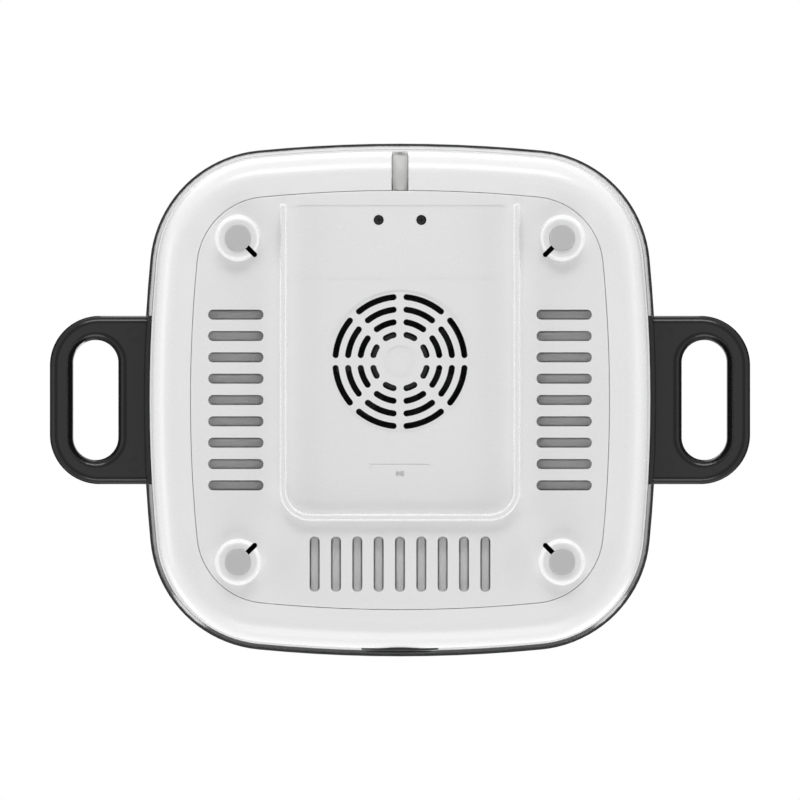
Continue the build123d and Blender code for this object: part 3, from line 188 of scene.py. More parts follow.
# %% Soft boxes below, beside and above
AIM = Vector((0, 0, 0.06))
LOW_SIZE = (1.4, 0.5)
BOXES = [
    ("low_front_box", (0.0, -1.66, -0.29), LOW_SIZE, 9.4),
    ("mid_front_box", (0.0, -1.44, -0.84), LOW_SIZE, 6.0),
    ("low_rear_box", (0.0, 1.66, -0.29), LOW_SIZE, 4.6),
    ("mid_rear_box", (0.0, 1.44, -0.84), LOW_SIZE, 12.6),
    ("low_right_box", (1.66, 0.0, -0.26), LOW_SIZE, 10.2),
    ("low_left_box", (-1.66, 0.0, -0.26), LOW_SIZE, 10.2),
    ("key_box", (-1.0, -1.2, 1.7), (1.0, 1.0), 22.0),
    ("fill_box", (1.5, -0.8, 1.2), (1.2, 1.2), 9.0),
    ("back_box", (0.4, 1.6, 1.4), (1.2, 0.8), 9.0),
]


def soft_box(name, place, size, power):
    """Area lamp that faces the pot and isn't seen itself."""
    data = bpy.data.lights.new(name, "AREA")
    data.shape = "RECTANGLE"
    data.size, data.size_y = size
    data.energy = power
    lamp = bpy.data.objects.new(name, data)
    bpy.context.scene.collection.objects.link(lamp)
    lamp.location = place
    lamp.rotation_euler = (AIM - Vector(place)).to_track_quat("-Z", "Y").to_euler()
    lamp.visible_camera = False
    return lamp


lamps = [soft_box(*box) for box in BOXES]
print(len(lamps), "soft boxes,", sum(lamp.data.energy for lamp in lamps), "W in all")

# %% [markdown]
# ## Cards for the reflections
# Gloss shows the room, so a photographer builds a room of cards that the camera doesn't see. A
# band all round at the height of the product draws the pale line along its rounded lower edge. A
# darker ring below it keeps that line apart from the flat underside. Both are greyer than the
# white room, which would bleach that edge. A frame hangs round the lid, white at the rear and
# dark at the front: the pot's dark wall, seen at a flat angle from below, mirrors only this frame.
# The cards are thin sheets and are switched off for all but mirror rays. They serve the view from
# below alone: they show to rays that came up through the floor. Light Path has counted such rays
# as past one transparent surface, so any count above a half will do.

# %% Helper that makes a card glow for mirror rays alone
ANY_SURFACE = 0.5
NEW_STOP = 0.5


def on_object(tree):
    """Coordinates that stay with the object."""
    return add(tree, "ShaderNodeTexCoord").outputs["Object"]


def even(level):
    """Levels of a card that is equally bright all over."""
    return [(0, level), (1, level)]


def mirror_card(card, name, levels, axis, reach):
    """Make a mesh a stage card with a brightness that runs through levels along one axis."""
    card.name = name
    for rays in ("camera", "diffuse", "transmission", "volume_scatter", "shadow"):
        setattr(card, "visible_" + rays, False)
    material, tree = new_finish(name + "_face")
    along = add(tree, "ShaderNodeSeparateXYZ", {0: on_object(tree)})
    share = remap(tree, along.outputs[axis], (-reach, reach))
    grade = add(tree, "ShaderNodeValToRGB", {"Fac": share})
    stops = grade.color_ramp.elements
    # New stops start in the middle, and all stops get their places below.
    while len(stops) < len(levels):
        stops.new(NEW_STOP)
    brightest = max(level for _, level in levels)
    for stop, (position, level) in zip(stops, levels):
        stop.position = position
        stop.color = (level / brightest, level / brightest, level / brightest, 1)
    glow = add(tree, "ShaderNodeEmission", {"Color": grade.outputs[0], "Strength": brightest})
    passed = add(tree, "ShaderNodeLightPath").outputs["Transparent Depth"]
    below = add(tree, "ShaderNodeMath", {0: passed, 1: ANY_SURFACE}, operation="GREATER_THAN")
    gone = add(tree, "ShaderNodeBsdfTransparent")
    shown = add(tree, "ShaderNodeMixShader", {
        0: below.outputs[0], 1: gone.outputs[0], 2: glow.outputs[0]})
    add(tree, "ShaderNodeOutputMaterial", {"Surface": shown.outputs[0]})
    card.data.materials.append(material)
    return card


print("an even card has the levels", even(1.0))

# %% [markdown]
# The band is a tube without ends and the ring a flat border. Meshes are changed in edit mode,
# where most steps start with everything selected. An inset draws a border on a flat sheet, and the
# face inside it is deleted: two steps instead of a boolean, and no stray points are left.

# %% Bright band and dark ring
CARD_SIDES = 64
BAND_RADIUS = 1.6
BAND_REACH = 0.5
BAND_LEVEL = 0.6
RING_DROP = 1.0
RING_OUTER = 1.9
RING_BORDER = 1.45
RING_LEVEL = 0.45


def start_edit():
    """Go into edit mode with everything selected."""
    bpy.ops.object.mode_set(mode="EDIT")
    bpy.ops.mesh.select_all(action="SELECT")


def keep_border(width):
    """Leave only the border of the flat sheet that has just been added."""
    sheet = bpy.context.object
    bpy.ops.object.transform_apply(location=True, rotation=False, scale=False)
    start_edit()
    bpy.ops.mesh.inset(thickness=width)
    bpy.ops.mesh.delete(type="FACE")
    bpy.ops.object.mode_set(mode="OBJECT")
    return sheet


bpy.ops.object.select_all(action="DESELECT")
bpy.ops.mesh.primitive_cylinder_add(vertices=CARD_SIDES, radius=BAND_RADIUS, depth=2 * BAND_REACH,
                                    end_fill_type="NOTHING")
band = mirror_card(bpy.context.object, "bright_band", even(BAND_LEVEL), "Z", BAND_REACH)

bpy.ops.object.select_all(action="DESELECT")
bpy.ops.mesh.primitive_circle_add(vertices=CARD_SIDES, radius=RING_OUTER, fill_type="NGON",
                                  location=(0, 0, -RING_DROP))
ring = mirror_card(keep_border(RING_BORDER), "dark_ring", even(RING_LEVEL), "X", RING_OUTER)
print("band of", len(band.data.polygons), "faces and ring of", len(ring.data.polygons))

# %% [markdown]
# The frame is a square border whose brightness runs from front to rear. A picture could supply
# that gradient, but a colour ramp along one axis has no pixels and is changed by a few numbers.

# %% Graded frame round the lid
FRAME_HEIGHT = 240 * MM
FRAME_OUTER = 360 * MM
FRAME_BORDER = 36 * MM
FRAME_LEVELS = [(0.0, 0.06), (0.1, 0.16), (0.25, 0.45), (0.75, 0.85), (1.0, 1.25)]

bpy.ops.object.select_all(action="DESELECT")
bpy.ops.mesh.primitive_plane_add(size=FRAME_OUTER, location=(0, 0, FRAME_HEIGHT))
graded = mirror_card(keep_border(FRAME_BORDER), "graded_frame", FRAME_LEVELS, "Y", FRAME_OUTER / 2)
print("graded frame of", len(graded.data.polygons), "faces")

# %% [markdown]
# The handles are black and nearly flat, so only their rounded edges tell their shape. Two dark
# flags above them keep those edges dark on the outside, next to the pale line from the band.

# %% Dark flags over the handles
FLAG_LENGTH = 520 * MM
FLAG_WIDTH = 440 * MM
FLAG_LEVEL = 0.04

for side, name in ((1, "dark_flag_right"), (-1, "dark_flag_left")):
    bpy.ops.object.select_all(action="DESELECT")
    bpy.ops.mesh.primitive_plane_add(size=FLAG_WIDTH,
                                     location=(side * FRAME_OUTER / 2, 0, FRAME_HEIGHT))
    start_edit()
    bpy.ops.transform.resize(value=(1, FLAG_LENGTH / FLAG_WIDTH, 1))
    bpy.ops.transform.translate(value=(side * FLAG_WIDTH / 2, 0, 0))
    bpy.ops.object.mode_set(mode="OBJECT")
    mirror_card(bpy.context.object, name, even(FLAG_LEVEL), "Y", FLAG_LENGTH)
    print(name, "reaches", round(FRAME_OUTER / 2 + FLAG_WIDTH, 2), "m out")

# %% [markdown]
# ## Moulded plastics and rubbers
# Most of the pot is moulded: white ABS outside, black nylon inside, phenolic handles, rubber
# pads. All share one build-up: a base colour that drifts a little across the part, a fine grain
# that the tool's eroded surface leaves, and a roughness that follows the grain. Real grain is some
# tenths of a millimetre and too fine to show here, so it is drawn a little coarser. A finish can
# have one more colour for edges, a painted highlight: paler where the surface tilts from level.

# %% Helpers for grain, colour and surface
def per_size(millimetres):
    """Texture scale at which one feature is that many millimetres across."""
    return 1.0 / (millimetres * MM)


def noise(tree, place, size, detail=1.0):
    """Noise with patches of about that many millimetres."""
    node = add(tree, "ShaderNodeTexNoise", {
        "Vector": place, "Scale": per_size(size), "Detail": detail})
    return node.outputs["Fac"]


def blend(tree, share, first, second):
    """Mix two colours."""
    node = add(tree, "ShaderNodeMix", {"Factor": share, "A": first, "B": second}, data_type="RGBA")
    return node.outputs["Result"]


def bump(tree, height, strength, depth):
    """Tilt the surface as if a texture were its height."""
    node = add(tree, "ShaderNodeBump", {"Height": height, "Strength": strength, "Distance": depth})
    return node.outputs[0]


def skin(tree, inputs):
    """End a finish with one Principled surface."""
    shader = add(tree, "ShaderNodeBsdfPrincipled", inputs)
    add(tree, "ShaderNodeOutputMaterial", {"Surface": shader.outputs[0]})


print("texture scale for a grain of 1 mm:", round(per_size(1.0)))

# %% [markdown]
# These helpers now make up one function for all moulded finishes. Each finish could be a node tree
# of its own, but then a better grain would have to be drawn a dozen times.

# %% One build-up for moulded finishes
DRIFT_SIZE = 45.0
DRIFT_DETAIL = 3.0
GRAIN_DETAIL = 2.0
GRAIN_DEPTH = 0.1
USUAL_NOISE = (0.3, 0.7)
PAINTED_HIGHLIGHT_TILT = (0.98, 0.75)


def moulded(name, pale, dark, grain, roughness, relief, ior, edge=None):
    """Moulded finish: two colours, a grain in millimetres, a range of roughness, a painted edge
    highlight.
    """
    material, tree = new_finish(name)
    place = on_object(tree)
    drift = noise(tree, place, DRIFT_SIZE, DRIFT_DETAIL)
    speckle = noise(tree, place, grain, GRAIN_DETAIL)
    tint = blend(tree, drift, colour(pale), colour(dark))
    # Painted highlight: where the surface tilts away from level, the colour turns to the paler edge
    # colour.
    if edge:
        normal = add(tree, "ShaderNodeNewGeometry").outputs["Normal"]
        facing = add(tree, "ShaderNodeSeparateXYZ", {0: normal})
        level = add(tree, "ShaderNodeMath", {0: facing.outputs["Z"]}, operation="ABSOLUTE")
        painted_highlight_share = remap(tree, level.outputs[0], PAINTED_HIGHLIGHT_TILT)
        tint = blend(tree, painted_highlight_share, tint, colour(edge))
    skin(tree, {"Base Color": tint, "IOR": ior,
                "Roughness": remap(tree, speckle, USUAL_NOISE, roughness),
                "Normal": bump(tree, speckle, relief, GRAIN_DEPTH * grain * MM)})
    return material


def dress(material, *names):
    """Give CAD nodes a finish."""
    for name in names:
        nodes[name].data.materials.clear()
        nodes[name].data.materials.append(material)


print("colours drift over about", DRIFT_SIZE, "mm")

# %% [markdown]
# The base and its cover are white ABS with a satin, spark-eroded face: bright, hardly any gloss,
# a soft highlight on round edges. The shell is the whiter of the two. The cover's raised edges are
# thin and catch light from all sides, so they get a painted highlight: a paler colour that follows
# the tilt of the surface. The hoods behind the air slots, seen only through them, are a plain and
# greyer grade whose grey is painted shade that makes the slots darker. The frame on top comes from
# a smoother tool.

# %% White ABS
ABS_IOR = 1.54
SATIN = (0.25, 0.28)
PLAIN = (0.40, 0.46)
SMOOTH = (0.17, 0.20)

shell_abs = moulded("bright_white_abs_satin_moulded", "#F2F2F2", "#EFEFEF",
                    grain=0.9, roughness=SATIN, relief=0.01, ior=ABS_IOR)
# The cover's edge colour is a painted highlight on its raised edges and foot rims.
cover_abs = moulded("white_abs_satin_moulded", "#EEEEEE", "#EBEBEB",
                    grain=0.9, roughness=SATIN, relief=0.01, ior=ABS_IOR, edge="#F7F7F7")
# Painted shade: the hoods are greyer than the white ABS so that the air slots behind the cover look
# darker.
hood_abs_painted_shade = moulded("off_white_abs_painted_shade", "#DEDEDE", "#D9D9D9",
                   grain=0.9, roughness=PLAIN, relief=0.02, ior=ABS_IOR)
smooth_abs = moulded("white_abs_smooth_moulded", "#F0F0F0", "#EDEDED",
                     grain=1.2, roughness=SMOOTH, relief=0.01, ior=ABS_IOR)
dress(shell_abs, "base_shell")
dress(cover_abs, "bottom_cover")
dress(hood_abs_painted_shade, "vent_hoods", "cord_clamp")
dress(smooth_abs, "top_frame")
grades = (shell_abs, cover_abs, hood_abs_painted_shade, smooth_abs)
print("white ABS on", sum(grade.users for grade in grades), "nodes")

# %% [markdown]
# Rubber scatters light almost evenly. The foot pads and the gasket are grey rubber, the cord
# outlet a lighter, slightly shinier grade, and what touches hot glass is white silicone. They need
# no trees of their own: more roughness and a stronger relief set them apart from plastic.

# %% Rubbers
RUBBER_IOR = 1.5
SILICONE_IOR = 1.41

pad_rubber = moulded("grey_rubber_pressed", "#C5C5C5", "#BBBBBB",
                     grain=0.8, roughness=(0.62, 0.78), relief=0.3, ior=RUBBER_IOR)
outlet_rubber = moulded("pale_grey_rubber_moulded", "#CACAC9", "#C1C1C0",
                        grain=0.8, roughness=(0.38, 0.5), relief=0.2, ior=RUBBER_IOR)
silicone = moulded("white_silicone_moulded", "#E4E3DE", "#DAD9D4",
                   grain=0.8, roughness=(0.5, 0.62), relief=0.2, ior=SILICONE_IOR)
dress(pad_rubber, "foot_pads", "hob_seal")
dress(outlet_rubber, "cord_gland")
dress(silicone, "sensor_holder", "knob_washer")
print("rubber on", pad_rubber.users + outlet_rubber.users + silicone.users, "nodes")

# %% [markdown]
# The handles and the knob are phenolic resin, pressed hard and hot: a deep grey-black with a
# satin skin. The dial has a soft-touch lacquer that hardly mirrors anything, and the fan, the tray
# and the cup behind the dial are black nylon. Black parts differ by their gloss alone, so each
# grade has its own roughness and its own index of refraction.

# %% Black plastics
PHENOLIC_IOR = 1.45
LACQUER_IOR = 1.32
NYLON_IOR = 1.53

phenolic = moulded("black_phenolic_pressed", "#161616", "#131313",
                   grain=0.7, roughness=(0.19, 0.21), relief=0.02, ior=PHENOLIC_IOR)
soft_touch = moulded("black_abs_soft_touch_lacquered", "#121213", "#0F0F10",
                     grain=1.5, roughness=(0.74, 0.80), relief=0.05, ior=LACQUER_IOR)
nylon = moulded("black_nylon_moulded", "#1C1C1C", "#161616",
                grain=0.8, roughness=(0.45, 0.58), relief=0.3, ior=NYLON_IOR)
dress(phenolic, "handle_left", "handle_right", "handle_plugs", "lid_knob")
dress(soft_touch, "dial")
dress(nylon, "dial_cup", "coil_tray", "fan_frame", "fan_rotor", "power_devices")
print("black plastics on", phenolic.users + soft_touch.users + nylon.users, "nodes")

# %% [markdown]
# ## The pot
# The pot is cast aluminium under a dark non-stick coat. The coat is sprayed, so it is smooth and
# glossy with a faint orange-peel wave and tiny pale flecks that are mixed into the lacquer. An
# image would need the pot to be unwrapped. A Voronoi texture doesn't: it knows the distance to the
# middle of each of its cells, and a short distance is a round fleck.

# %% Non-stick coat on cast aluminium
FLECK_PITCH = 1.6
FLECK_EDGE = (0.10, 0.16)
FLECK_SHARE = 0.35
PEEL_SIZE = 3.0
PEEL_RELIEF = 0.04
PEEL_DEPTH = 0.2 * MM


def specks(tree, place, pitch, edge, share):
    """Round specks, one to a cell of a pitch in millimetres, with an edge that fades."""
    cells = add(tree, "ShaderNodeTexVoronoi", {"Vector": place, "Scale": per_size(pitch)})
    return remap(tree, cells.outputs["Distance"], edge, (share, 0.0))


coat, tree = new_finish("dark_non_stick_coat_sprayed")
place = on_object(tree)
flecks = specks(tree, place, FLECK_PITCH, FLECK_EDGE, FLECK_SHARE)
peel = noise(tree, place, PEEL_SIZE)
skin(tree, {"Base Color": blend(tree, flecks, colour("#17181A"), colour("#3A3B3D")),
            "Roughness": 0.10, "IOR": 1.5,
            "Normal": bump(tree, peel, PEEL_RELIEF, PEEL_DEPTH)})
dress(coat, "pot_body")
print("non-stick coat on", coat.users, "node")

# %% [markdown]
# ## Metals
# A metal's look is all reflection, so its roughness does the work. Sheet steel is brushed: long
# thin scratches blur the reflection across their run. Plated screws, sintered bronze, ferrite and
# copper wire are grainy instead. Stretching a noise texture along one axis gives the brushing.

# %% Helper for brushed and grainy metals
SCRATCH_DETAIL = 3.0
SCRATCH_RELIEF = 0.12
SCRATCH_DEPTH = 0.05


def metal(name, pale, dark, grain, roughness, stretch=1.0):
    """Metal finish: two tones, a grain in millimetres, and how far it is drawn out along X."""
    material, tree = new_finish(name)
    drawn = add(tree, "ShaderNodeMapping", {
        "Vector": on_object(tree), "Scale": (1.0 / stretch, 1.0, 1.0)})
    scratch = noise(tree, drawn.outputs[0], grain, SCRATCH_DETAIL)
    skin(tree, {"Base Color": blend(tree, scratch, colour(pale), colour(dark)), "Metallic": 1.0,
                "Roughness": remap(tree, scratch, target=roughness),
                "Normal": bump(tree, scratch, SCRATCH_RELIEF, SCRATCH_DEPTH * grain * MM)})
    return material


print("scratches are as deep as", SCRATCH_DEPTH, "of their grain")

# %% [markdown]
# What is bent from sheet or turned is stainless steel. Screws and electrical cases are zinc plated,
# and the two screws in the cover are blackened, so that their holes look dark. The coil is copper,
# its bars are ferrite, the fan runs in bronze, and what takes up heat is aluminium. Colour and
# roughness tell them apart, so one helper does for all seven.

# %% Steels and other metals
brushed_steel = metal("stainless_steel_brushed", "#D2D2D0", "#B4B4B2",
                      grain=0.4, roughness=(0.22, 0.38), stretch=40.0)
black_oxide = metal("steel_black_oxide", "#4A4A4B", "#3D3D3E", grain=0.8, roughness=(0.45, 0.6))
zinc = metal("steel_zinc_plated", "#9A9B9C", "#7E7F80", grain=0.8, roughness=(0.3, 0.45))
copper = metal("copper_wire_enamelled", "#C8794E", "#A85E38", grain=1.0, roughness=(0.25, 0.4))
ferrite = metal("ferrite_sintered", "#4B4B4D", "#38383A", grain=0.6, roughness=(0.6, 0.75))
bronze = metal("bronze_sintered", "#B18A5A", "#8F6C42", grain=0.6, roughness=(0.4, 0.55))
aluminium = metal("aluminium_extruded", "#D6D7D9", "#BFC0C2",
                  grain=0.6, roughness=(0.28, 0.42), stretch=12.0)
dress(brushed_steel, "lid_rim", "knob_seat", "steam_vent", "pot_base_plate", "handle_brackets",
      "dial_shaft", "fan_shaft")
dress(zinc, "cover_screws", "tray_screws", "handle_screws", "knob_screw", "fan_stator",
      "rotary_switch")
dress(black_oxide, "clamp_screws")
dress(copper, "induction_coil")
dress(ferrite, "ferrite_bars", "filter_choke")
dress(bronze, "fan_bearing")
dress(aluminium, "heat_sink", "temp_sensor")
metals = (brushed_steel, black_oxide, zinc, copper, ferrite, bronze, aluminium)
print(len(metals), "metals on", sum(finish.users for finish in metals), "nodes")

# %% [markdown]
# ## Glass
# The hob plate is black ceramic glass with a fine speckle baked in, made like the pot's flecks. The
# lid is clear tempered glass with the faint green that iron gives it. Its solid has a true
# thickness, so full transmission is enough, and a very weak bump is the ripple of tempering.

# %% Ceramic glass and clear glass
SPECK_PITCH = 2.2
SPECK_EDGE = (0.12, 0.2)
RIPPLE_SIZE = 35.0
RIPPLE_RELIEF = 0.03
RIPPLE_DEPTH = 0.5 * MM

ceramic, tree = new_finish("black_ceramic_glass_polished")
speckle = specks(tree, on_object(tree), SPECK_PITCH, SPECK_EDGE, 1.0)
skin(tree, {"Base Color": blend(tree, speckle, colour("#121315"), colour("#3C3E40")),
            "Roughness": 0.05, "IOR": 1.53})
dress(ceramic, "hob_plate")

clear_glass, tree = new_finish("clear_glass_tempered")
ripple = noise(tree, on_object(tree), RIPPLE_SIZE)
skin(tree, {"Base Color": colour("#EEF5F3"), "Roughness": 0.0, "IOR": 1.5,
            "Transmission Weight": 1.0,
            "Normal": bump(tree, ripple, RIPPLE_RELIEF, RIPPLE_DEPTH)})
dress(clear_glass, "lid_glass")
print("two glasses made")

# %% [markdown]
# ## Circuit boards
# The boards carry a green solder mask over a copper layer, which shows as a slightly paler maze. A
# Brick texture is enough for that, because the boards are seen only when the base is open. The
# film capacitors have yellow moulded cases.

# %% Boards and capacitor cases
MAZE_PITCH = 14.0

mask, tree = new_finish("green_solder_mask_printed")
maze = add(tree, "ShaderNodeTexBrick", {
    "Vector": on_object(tree), "Scale": per_size(MAZE_PITCH), "Color1": colour("#1E6B3C"),
    "Color2": colour("#1A5F35"), "Mortar": colour("#2C8350")})
skin(tree, {"Base Color": maze.outputs["Color"], "Roughness": 0.3, "IOR": 1.5})
dress(mask, "power_board", "control_board")
yellow_case = moulded("yellow_polyester_case_moulded", "#D9B23A", "#CDA52F",
                      grain=1.0, roughness=(0.3, 0.4), relief=0.1, ior=1.5)
dress(yellow_case, "capacitors")
plain = [name for name, node in nodes.items() if not node.data.materials[0].name.count("_")]
print("nodes still without a finish:", plain)

# %% [markdown]
# ## Printed marks
# The dial's face carries printed dots that grow round it, a small triangle on the housing above
# shows which one counts, two rings on the glass plate show where the pot goes, and three lines in
# the pot show how far to fill it. A texture could paint them, but print has a crisp edge at any
# zoom, so each mark is a thin sheet of ink: a flat outline that a Shrinkwrap modifier presses onto
# the surface and a Solidify modifier makes as thick as ink.

# %% Inks and helpers that join sheets and lay them
INK = 0.06 * MM
INK_GLOSS = (0.42, 0.55)

white_ink = moulded("white_ink_pad_printed", "#E9E9E8", "#DEDEDD",
                    grain=0.6, roughness=INK_GLOSS, relief=0.1, ior=1.5)
grey_ink = moulded("grey_ink_pad_printed", "#77787A", "#6B6C6E",
                   grain=0.6, roughness=INK_GLOSS, relief=0.1, ior=1.5)


def join(pieces, name):
    """Make several objects one."""
    bpy.ops.object.select_all(action="DESELECT")
    for piece in pieces:
        piece.select_set(True)
    bpy.context.view_layer.objects.active = pieces[0]
    if len(pieces) > 1:
        bpy.ops.object.join()
    pieces[0].name = name
    return pieces[0]


def lay_ink(sheet, ink, body, surface=None):
    """Press a flat sheet along +Y onto a CAD node, make it solid, and let it ride on a body."""
    if surface:
        press = sheet.modifiers.new("press", "SHRINKWRAP")
        press.target = nodes[surface]
        press.wrap_method = "PROJECT"
        press.use_project_y = True
        bpy.ops.object.modifier_apply(modifier=press.name)
    layer = sheet.modifiers.new("layer", "SOLIDIFY")
    layer.thickness = INK
    layer.offset = 0.0
    bpy.ops.object.modifier_apply(modifier=layer.name)
    sheet.data.materials.append(ink)
    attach(sheet, body)
    print(sheet.name, "has", len(sheet.data.polygons), "faces")


print("ink is", INK / MM, "mm thick")

# %% [markdown]
# The dots tell the heat levels: nine of them, 30 degrees apart, each larger than the one before.
# One dot is modelled, with an inset so that it bends well onto the face. The others are copies,
# moved and grown in edit mode, so that their objects stay unscaled.

# %% Dots that grow round the dial
DIAL_HEIGHT = 42 * MM
DIAL_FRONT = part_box("dial")[0].y
DOT_CIRCLE = 14.6 * MM
DOT_STEP = math.radians(30)
DOT_COUNT = 9
DOT_SIDES = 28
FIRST_DOT = 0.7 * MM
DOT_GROWTH = 0.1 * MM

top = Vector((0, DIAL_FRONT, DIAL_HEIGHT + DOT_CIRCLE))
bpy.ops.object.select_all(action="DESELECT")
bpy.ops.mesh.primitive_circle_add(vertices=DOT_SIDES, radius=FIRST_DOT, fill_type="NGON",
                                  location=top, rotation=(math.pi / 2, 0, 0))
model_dot = bpy.context.object
bpy.ops.object.transform_apply(location=True, rotation=True, scale=False)
start_edit()
bpy.ops.mesh.inset(thickness=FIRST_DOT / 2)
bpy.ops.object.mode_set(mode="OBJECT")

dots = []
for step in range(1, DOT_COUNT + 1):
    turn = step * DOT_STEP
    across, up = -math.sin(turn) * DOT_CIRCLE, math.cos(turn) * DOT_CIRCLE
    place = Vector((across, DIAL_FRONT, DIAL_HEIGHT + up))
    growth = 1 + (step - 1) * DOT_GROWTH / FIRST_DOT
    bpy.ops.object.select_all(action="DESELECT")
    model_dot.select_set(True)
    bpy.context.view_layer.objects.active = model_dot
    bpy.ops.object.duplicate(linked=False)
    dots.append(bpy.context.object)
    start_edit()
    bpy.ops.transform.resize(value=(growth, growth, growth), center_override=top)
    bpy.ops.transform.translate(value=place - top)
    bpy.ops.object.mode_set(mode="OBJECT")
bpy.data.objects.remove(model_dot)
lay_ink(join(dots, "dial_dots"), white_ink, "dial", "dial")

# %% [markdown]
# The triangle is printed on the housing, just above the dial. It starts as a circle of three
# points. A bevel of its points rounds the corners, as print always does.

# %% Triangle above the dial
POINTER_RADIUS = 1.5 * MM
POINTER_HEIGHT = 66.5 * MM
POINTER_CORNER = 0.3 * POINTER_RADIUS
CORNER_STEPS = 3
SHELL_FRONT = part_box("base_shell")[0].y

bpy.ops.object.select_all(action="DESELECT")
bpy.ops.mesh.primitive_circle_add(vertices=3, radius=POINTER_RADIUS, fill_type="NGON",
                                  location=(0, SHELL_FRONT - MM, POINTER_HEIGHT),
                                  rotation=(math.pi / 2, math.pi, 0))
pointer = bpy.context.object
bpy.ops.object.transform_apply(location=True, rotation=True, scale=False)
start_edit()
bpy.ops.mesh.bevel(offset=POINTER_CORNER, segments=CORNER_STEPS, affect="VERTICES")
bpy.ops.object.mode_set(mode="OBJECT")
lay_ink(join([pointer], "dial_pointer"), grey_ink, "base", "base_shell")

# %% [markdown]
# The fill lines are on the inside of the pot's rear wall, a long one on top and two short ones.
# Each has round ends, so it starts as a round dot whose halves are pulled apart. Cuts across it
# give the Shrinkwrap modifier points to bend it with.

# %% Fill lines in the pot
LINE_WIDTH = 1.2 * MM
LINE_SIDES = 24
LINE_CUTS = 3
FILL_LINES = [(132 * MM, 24 * MM), (116 * MM, 14 * MM), (100 * MM, 14 * MM)]
TINY = 1e-6


def pick(piece, kind, test):
    """In edit mode, select only the points or faces that pass a test."""
    bpy.ops.mesh.select_mode(type="VERT" if kind == "points" else "FACE")
    bpy.ops.mesh.select_all(action="DESELECT")
    bpy.ops.object.mode_set(mode="OBJECT")
    for part in piece.data.vertices if kind == "points" else piece.data.polygons:
        part.select = test(part)
    bpy.ops.object.mode_set(mode="EDIT")


lines = []
for height, length in FILL_LINES:
    bpy.ops.object.select_all(action="DESELECT")
    bpy.ops.mesh.primitive_circle_add(vertices=LINE_SIDES, radius=LINE_WIDTH / 2, fill_type="NGON",
                                      location=(0, 0, height), rotation=(math.pi / 2, 0, 0))
    line = bpy.context.object
    bpy.ops.object.transform_apply(location=True, rotation=True, scale=False)
    start_edit()
    for side in (-1, 1):
        pick(line, "points", lambda point: point.co.x * side > TINY)
        bpy.ops.transform.translate(value=(side * (length - LINE_WIDTH) / 2, 0, 0))
    bpy.ops.mesh.select_all(action="SELECT")
    bpy.ops.mesh.subdivide(number_cuts=LINE_CUTS)
    bpy.ops.object.mode_set(mode="OBJECT")
    lines.append(line)
lay_ink(join(lines, "fill_lines"), grey_ink, "pot", "pot_body")

# %% [markdown]
# Two rings are fired onto the glass plate and show where the pot goes. A torus would stand up from
# the glass, so each ring is the border of a round sheet. The plate is flat, so they need no
# pressing on.

# %% Rings on the glass plate
PLATE_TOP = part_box("hob_plate")[1].z
ZONE_SIDES = 160
ZONE_RINGS = [(104 * MM, 1.4 * MM), (60 * MM, 0.8 * MM)]

rings = []
for radius, width in ZONE_RINGS:
    bpy.ops.object.select_all(action="DESELECT")
    bpy.ops.mesh.primitive_circle_add(vertices=ZONE_SIDES, radius=radius, fill_type="NGON",
                                      location=(0, 0, PLATE_TOP))
    rings.append(keep_border(width))
lay_ink(join(rings, "cooking_zone_rings"), grey_ink, "base")

# %% [markdown]
# ## Clamp screws
# Two steel screws sit deep in the cover and hold the clamp on the cord. Each has a pan head with a
# cross recess. The CAD screws have plain heads, so new ones stand for them. The head starts as a
# cylinder: an inset and an extrusion draw out the shank, and a bevel rounds the head's rim.

# %% Head and shank of one screw
SCREW_LOW, SCREW_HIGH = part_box("clamp_screws")
SCREW_X = 12.5 * MM
SCREW_Y = (SCREW_LOW.y + SCREW_HIGH.y) / 2
SCREW_SIDES = 36
HEAD_RADIUS = SCREW_HIGH.x - SCREW_X
HEAD_HEIGHT = 2.0 * MM
HEAD_ROUND = 0.9 * MM
ROUND_STEPS = 4
SHANK_RADIUS = 1.9 * MM
SHANK_LENGTH = SCREW_HIGH.z - SCREW_LOW.z - HEAD_HEIGHT
NEARLY_LEVEL = 0.9

bpy.ops.object.select_all(action="DESELECT")
bpy.ops.mesh.primitive_cylinder_add(vertices=SCREW_SIDES, radius=HEAD_RADIUS, depth=HEAD_HEIGHT,
                                    location=(SCREW_X, SCREW_Y, SCREW_LOW.z + HEAD_HEIGHT / 2))
screw = bpy.context.object
bpy.ops.object.transform_apply(location=True, rotation=False, scale=False)
bpy.ops.object.mode_set(mode="EDIT")
pick(screw, "faces", lambda face: face.normal.z > NEARLY_LEVEL)
bpy.ops.mesh.inset(thickness=HEAD_RADIUS - SHANK_RADIUS)
bpy.ops.mesh.extrude_region_move(TRANSFORM_OT_translate={"value": (0, 0, SHANK_LENGTH)})
pick(screw, "faces", lambda face: face.normal.z < -NEARLY_LEVEL)
bpy.ops.mesh.bevel(offset=HEAD_ROUND, segments=ROUND_STEPS, affect="EDGES")
bpy.ops.object.mode_set(mode="OBJECT")
print("screw head", round(2 * HEAD_RADIUS / MM, 2), "mm, shank", round(SHANK_LENGTH / MM, 2), "mm")

# %% [markdown]
# The cross is pressed in by a tapered punch. Here a tapered bar is cut away twice, at right angles,
# with a Boolean modifier. It could be drawn with knife cuts, but the bar keeps both slots equal.
# The finished screw is then copied to its twin's place.

# %% Cross recess and the twin
RECESS_LENGTH = 3.4 * MM
RECESS_WIDTH = 0.9 * MM
RECESS_DEPTH = 1.5 * MM
RECESS_TAPER = 0.5
SMOOTH_ANGLE = math.radians(35)


def cut_away(piece, cutter):
    """Take one solid out of another."""
    bpy.context.view_layer.objects.active = piece
    cut = piece.modifiers.new("cut", "BOOLEAN")
    cut.object = cutter
    bpy.ops.object.modifier_apply(modifier=cut.name)
    bpy.data.objects.remove(cutter)


